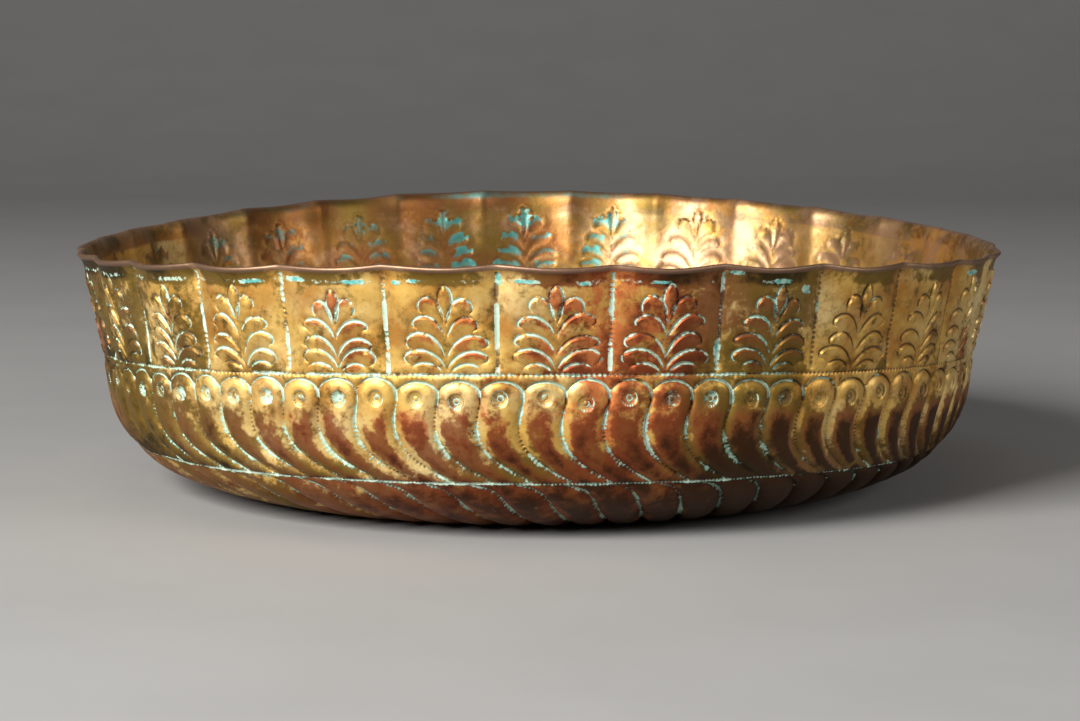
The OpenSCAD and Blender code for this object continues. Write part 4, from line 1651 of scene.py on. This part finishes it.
def gilt_finish(root, noise):
    mark = {name: root.add("ShaderNodeAttribute", output="Fac", attribute_name=name) for name in MARKS}
    patch = noise(9, 1.0, 6)
    blotch = noise(26, 2.0, 5, 0.6)
    grain = noise(1.1, 3.0, 3)
    speck = noise(2.6, 4.0, 5, 0.65)
    streak = noise(7, 5.0, 7, 0.65, 0.6)
    salt = noise(0.9, 6.0, 3, 0.6)
    drift = noise(7, 7.0, 4)

    # Gilding, deeper and paler in patches
    gold = patch.step(0.4, 0.62).mix(GOLD, GOLD_DEEP)
    gold = blotch.step(0.44, 0.66).mix(gold, GOLD_PALE)
    gold = (grain.step(0.48, 0.7) * 0.5).mix(gold, GOLD_DEEP)
    gold = (speck.step(0.5, 0.68) * 0.7).mix(gold, OLIVE)

    # Red copper, then tarnish and soot over it. Both follow the brown amount, so they also paint shade: under
    # the lip, on the panels' right flanks, at the frieze's foot, on the lower belly and whorl, and where the
    # light falls off
    worn = (mark["red"] + (streak - 0.5) * 2.4 + (speck - 0.5) * 0.8).step(0.42, 0.85)
    dull_and_shaded = (mark["brown"] + (patch - 0.5) * 1.6 + (speck - 0.5) * 1.5).step(0.36, 0.7)
    soot_and_shade = (mark["brown"] - 0.6 + (streak - 0.5) * 1.5 + (speck - 0.5) * 0.7).step(0.25, 0.75)
    copper = patch.step(0.45, 0.72).mix(RED_COPPER, BROWN)
    tarnish_and_shade_colour = (mark["red"] + (blotch - 0.5) * 1.2).step(0.15, 0.5).mix(OLIVE, MAROON)
    colour = (worn * 0.85).mix(gold, copper)
    colour = (dull_and_shaded * 0.85).mix(colour, tarnish_and_shade_colour)
    colour = (soot_and_shade * 0.85).mix(colour, SOOT_AND_SHADOW)

    # The lining: gold where its brown amount is nearly none, a painted highlight on the inner left wall, and
    # rosy or brown elsewhere, with painted shade beside the lamp's reflection and under the rim; and the bare
    # edge of the rim
    lining = patch.step(0.4, 0.6).mix(ROSE, TAN)
    lining = ((streak + (blotch - 0.5) * 0.6).step(0.48, 0.66) * 0.7).mix(lining, GOLD_DEEP)
    aged_and_shaded = (mark["brown"] + (patch - 0.5) * 1.2 + (speck - 0.5) * 0.8).step(0.4, 0.85)
    lining = (aged_and_shaded * 0.8).mix(lining, blotch.step(0.42, 0.58).mix(OLIVE, BROWN))
    lining = mark["brown"].step(0.02, 0.25).mix(gold, lining)
    colour = mark["inner"].mix(colour, lining)
    colour = (mark["bare"] * 0.85).mix(colour, BARE)

    # Salt in the lines, with a dark shadow where there is none
    outer = 1 - mark["inner"]
    wealth = mark["mint"] + (drift - 0.5) * 2.4 + (salt - 0.5) * 0.9
    side = mark["chased"].step(0.4, 0.75) * outer
    bottom = (mark["chased"] + (salt - 0.5) * 0.8 + (wealth - 0.8) * 0.45).step(0.36, 0.62)
    crust = bottom * wealth.step(0.5, 0.75) * outer
    shadow = side * (1 - crust)
    colour = (shadow * 0.75).mix(colour, SOOT_AND_SHADOW)
    core = (mark["chased"] + (wealth - 0.75) * 0.45 + (salt - 0.5) * 0.5).step(0.42, 0.8)
    chalk = salt.step(0.42, 0.62).mix(MINT_SALT, CHALK)
    colour = crust.mix(colour, core.mix(SEA_SALT, chalk))

    # Turquoise under the lip, and a mist of it in the hollows inside
    bloom = (mark["teal"] + (salt - 0.5) * 1.2 + (drift - 0.5) * 1.3).step(0.42, 0.66) * outer
    pale = (salt + (drift - 0.5) * 0.5).step(0.42, 0.62)
    colour = bloom.mix(colour, pale.mix(TEAL_SALT, MINT_SALT))
    mist = (mark["teal"] + (drift - 0.5) * 0.7 + (speck - 0.5) * 0.4).step(0.22, 0.8) * mark["inner"]
    colour = (mist * 0.8).mix(colour, TEAL_SALT)

    # Salt is rough and dull, and stands a little above the metal
    salts = crust.most(bloom)
    metal = (1 - salts) * (1 - shadow * 0.6) * (0.68 + 0.2 * dull_and_shaded)
    rough = 0.42 + 0.14 * patch + 0.06 * dull_and_shaded + 0.1 * shadow + 0.32 * salts - 0.09 * mark["inner"]
    height = patch * 0.6 + speck * 0.5 + grain * 0.25 + salts * 0.5 * salt
    return colour, metal, rough, height


gilt = new_material("gilt_copper", gilt_finish)
for piece in (frieze, belly, base):
    piece.data.materials.append(gilt)
print("nodes in the gilding:", len(gilt.node_tree.nodes))


# %% [markdown]
# ## Cap and rivet
# The cap has the same gilding, so it takes the same finish; its own attribute marks the lines between
# petals. The rivet and its rove were never gilded: they are plain copper, brown in patches with dark specks.

# %% Cap and rivet finish
cap.data.materials.append(new_material("boss_gilt", gilt_finish))


def copper_finish(root, noise):
    patch = noise(3, 11.0, 5)
    speck = noise(0.8, 12.0, 4, 0.6)
    colour = patch.step(0.4, 0.62).mix(RED_COPPER, BROWN)
    colour = (speck.step(0.55, 0.7) * 0.8).mix(colour, SOOT_AND_SHADOW)
    return colour, 1 - 0.4 * speck, 0.32 + 0.3 * patch, patch * 0.6 + speck * 0.6


copper = new_material("rivet_copper", copper_finish)
for piece in (rivet, rove):
    piece.data.materials.append(copper)
print("nodes in the copper:", len(copper.node_tree.nodes))


# %% [markdown]
# ## The floor's own finish
# The studio floor is plain pale card: one colour with a faint grain, and no shine.

# %% Studio card
CARD = (0.24, 0.24, 0.24, 1)
CARD_PALE = (0.25, 0.25, 0.25, 1)


def card_finish(root, noise):
    grain = noise(40, 9.0, 3)
    return grain.step(0.3, 0.7).mix(CARD, CARD_PALE), grain * 0, 0.75 + grain * 0.1, grain * 0.1


sweep.data.materials.append(new_material("studio_card", card_finish))
print("finish of the floor:", sweep.data.materials[0].name)
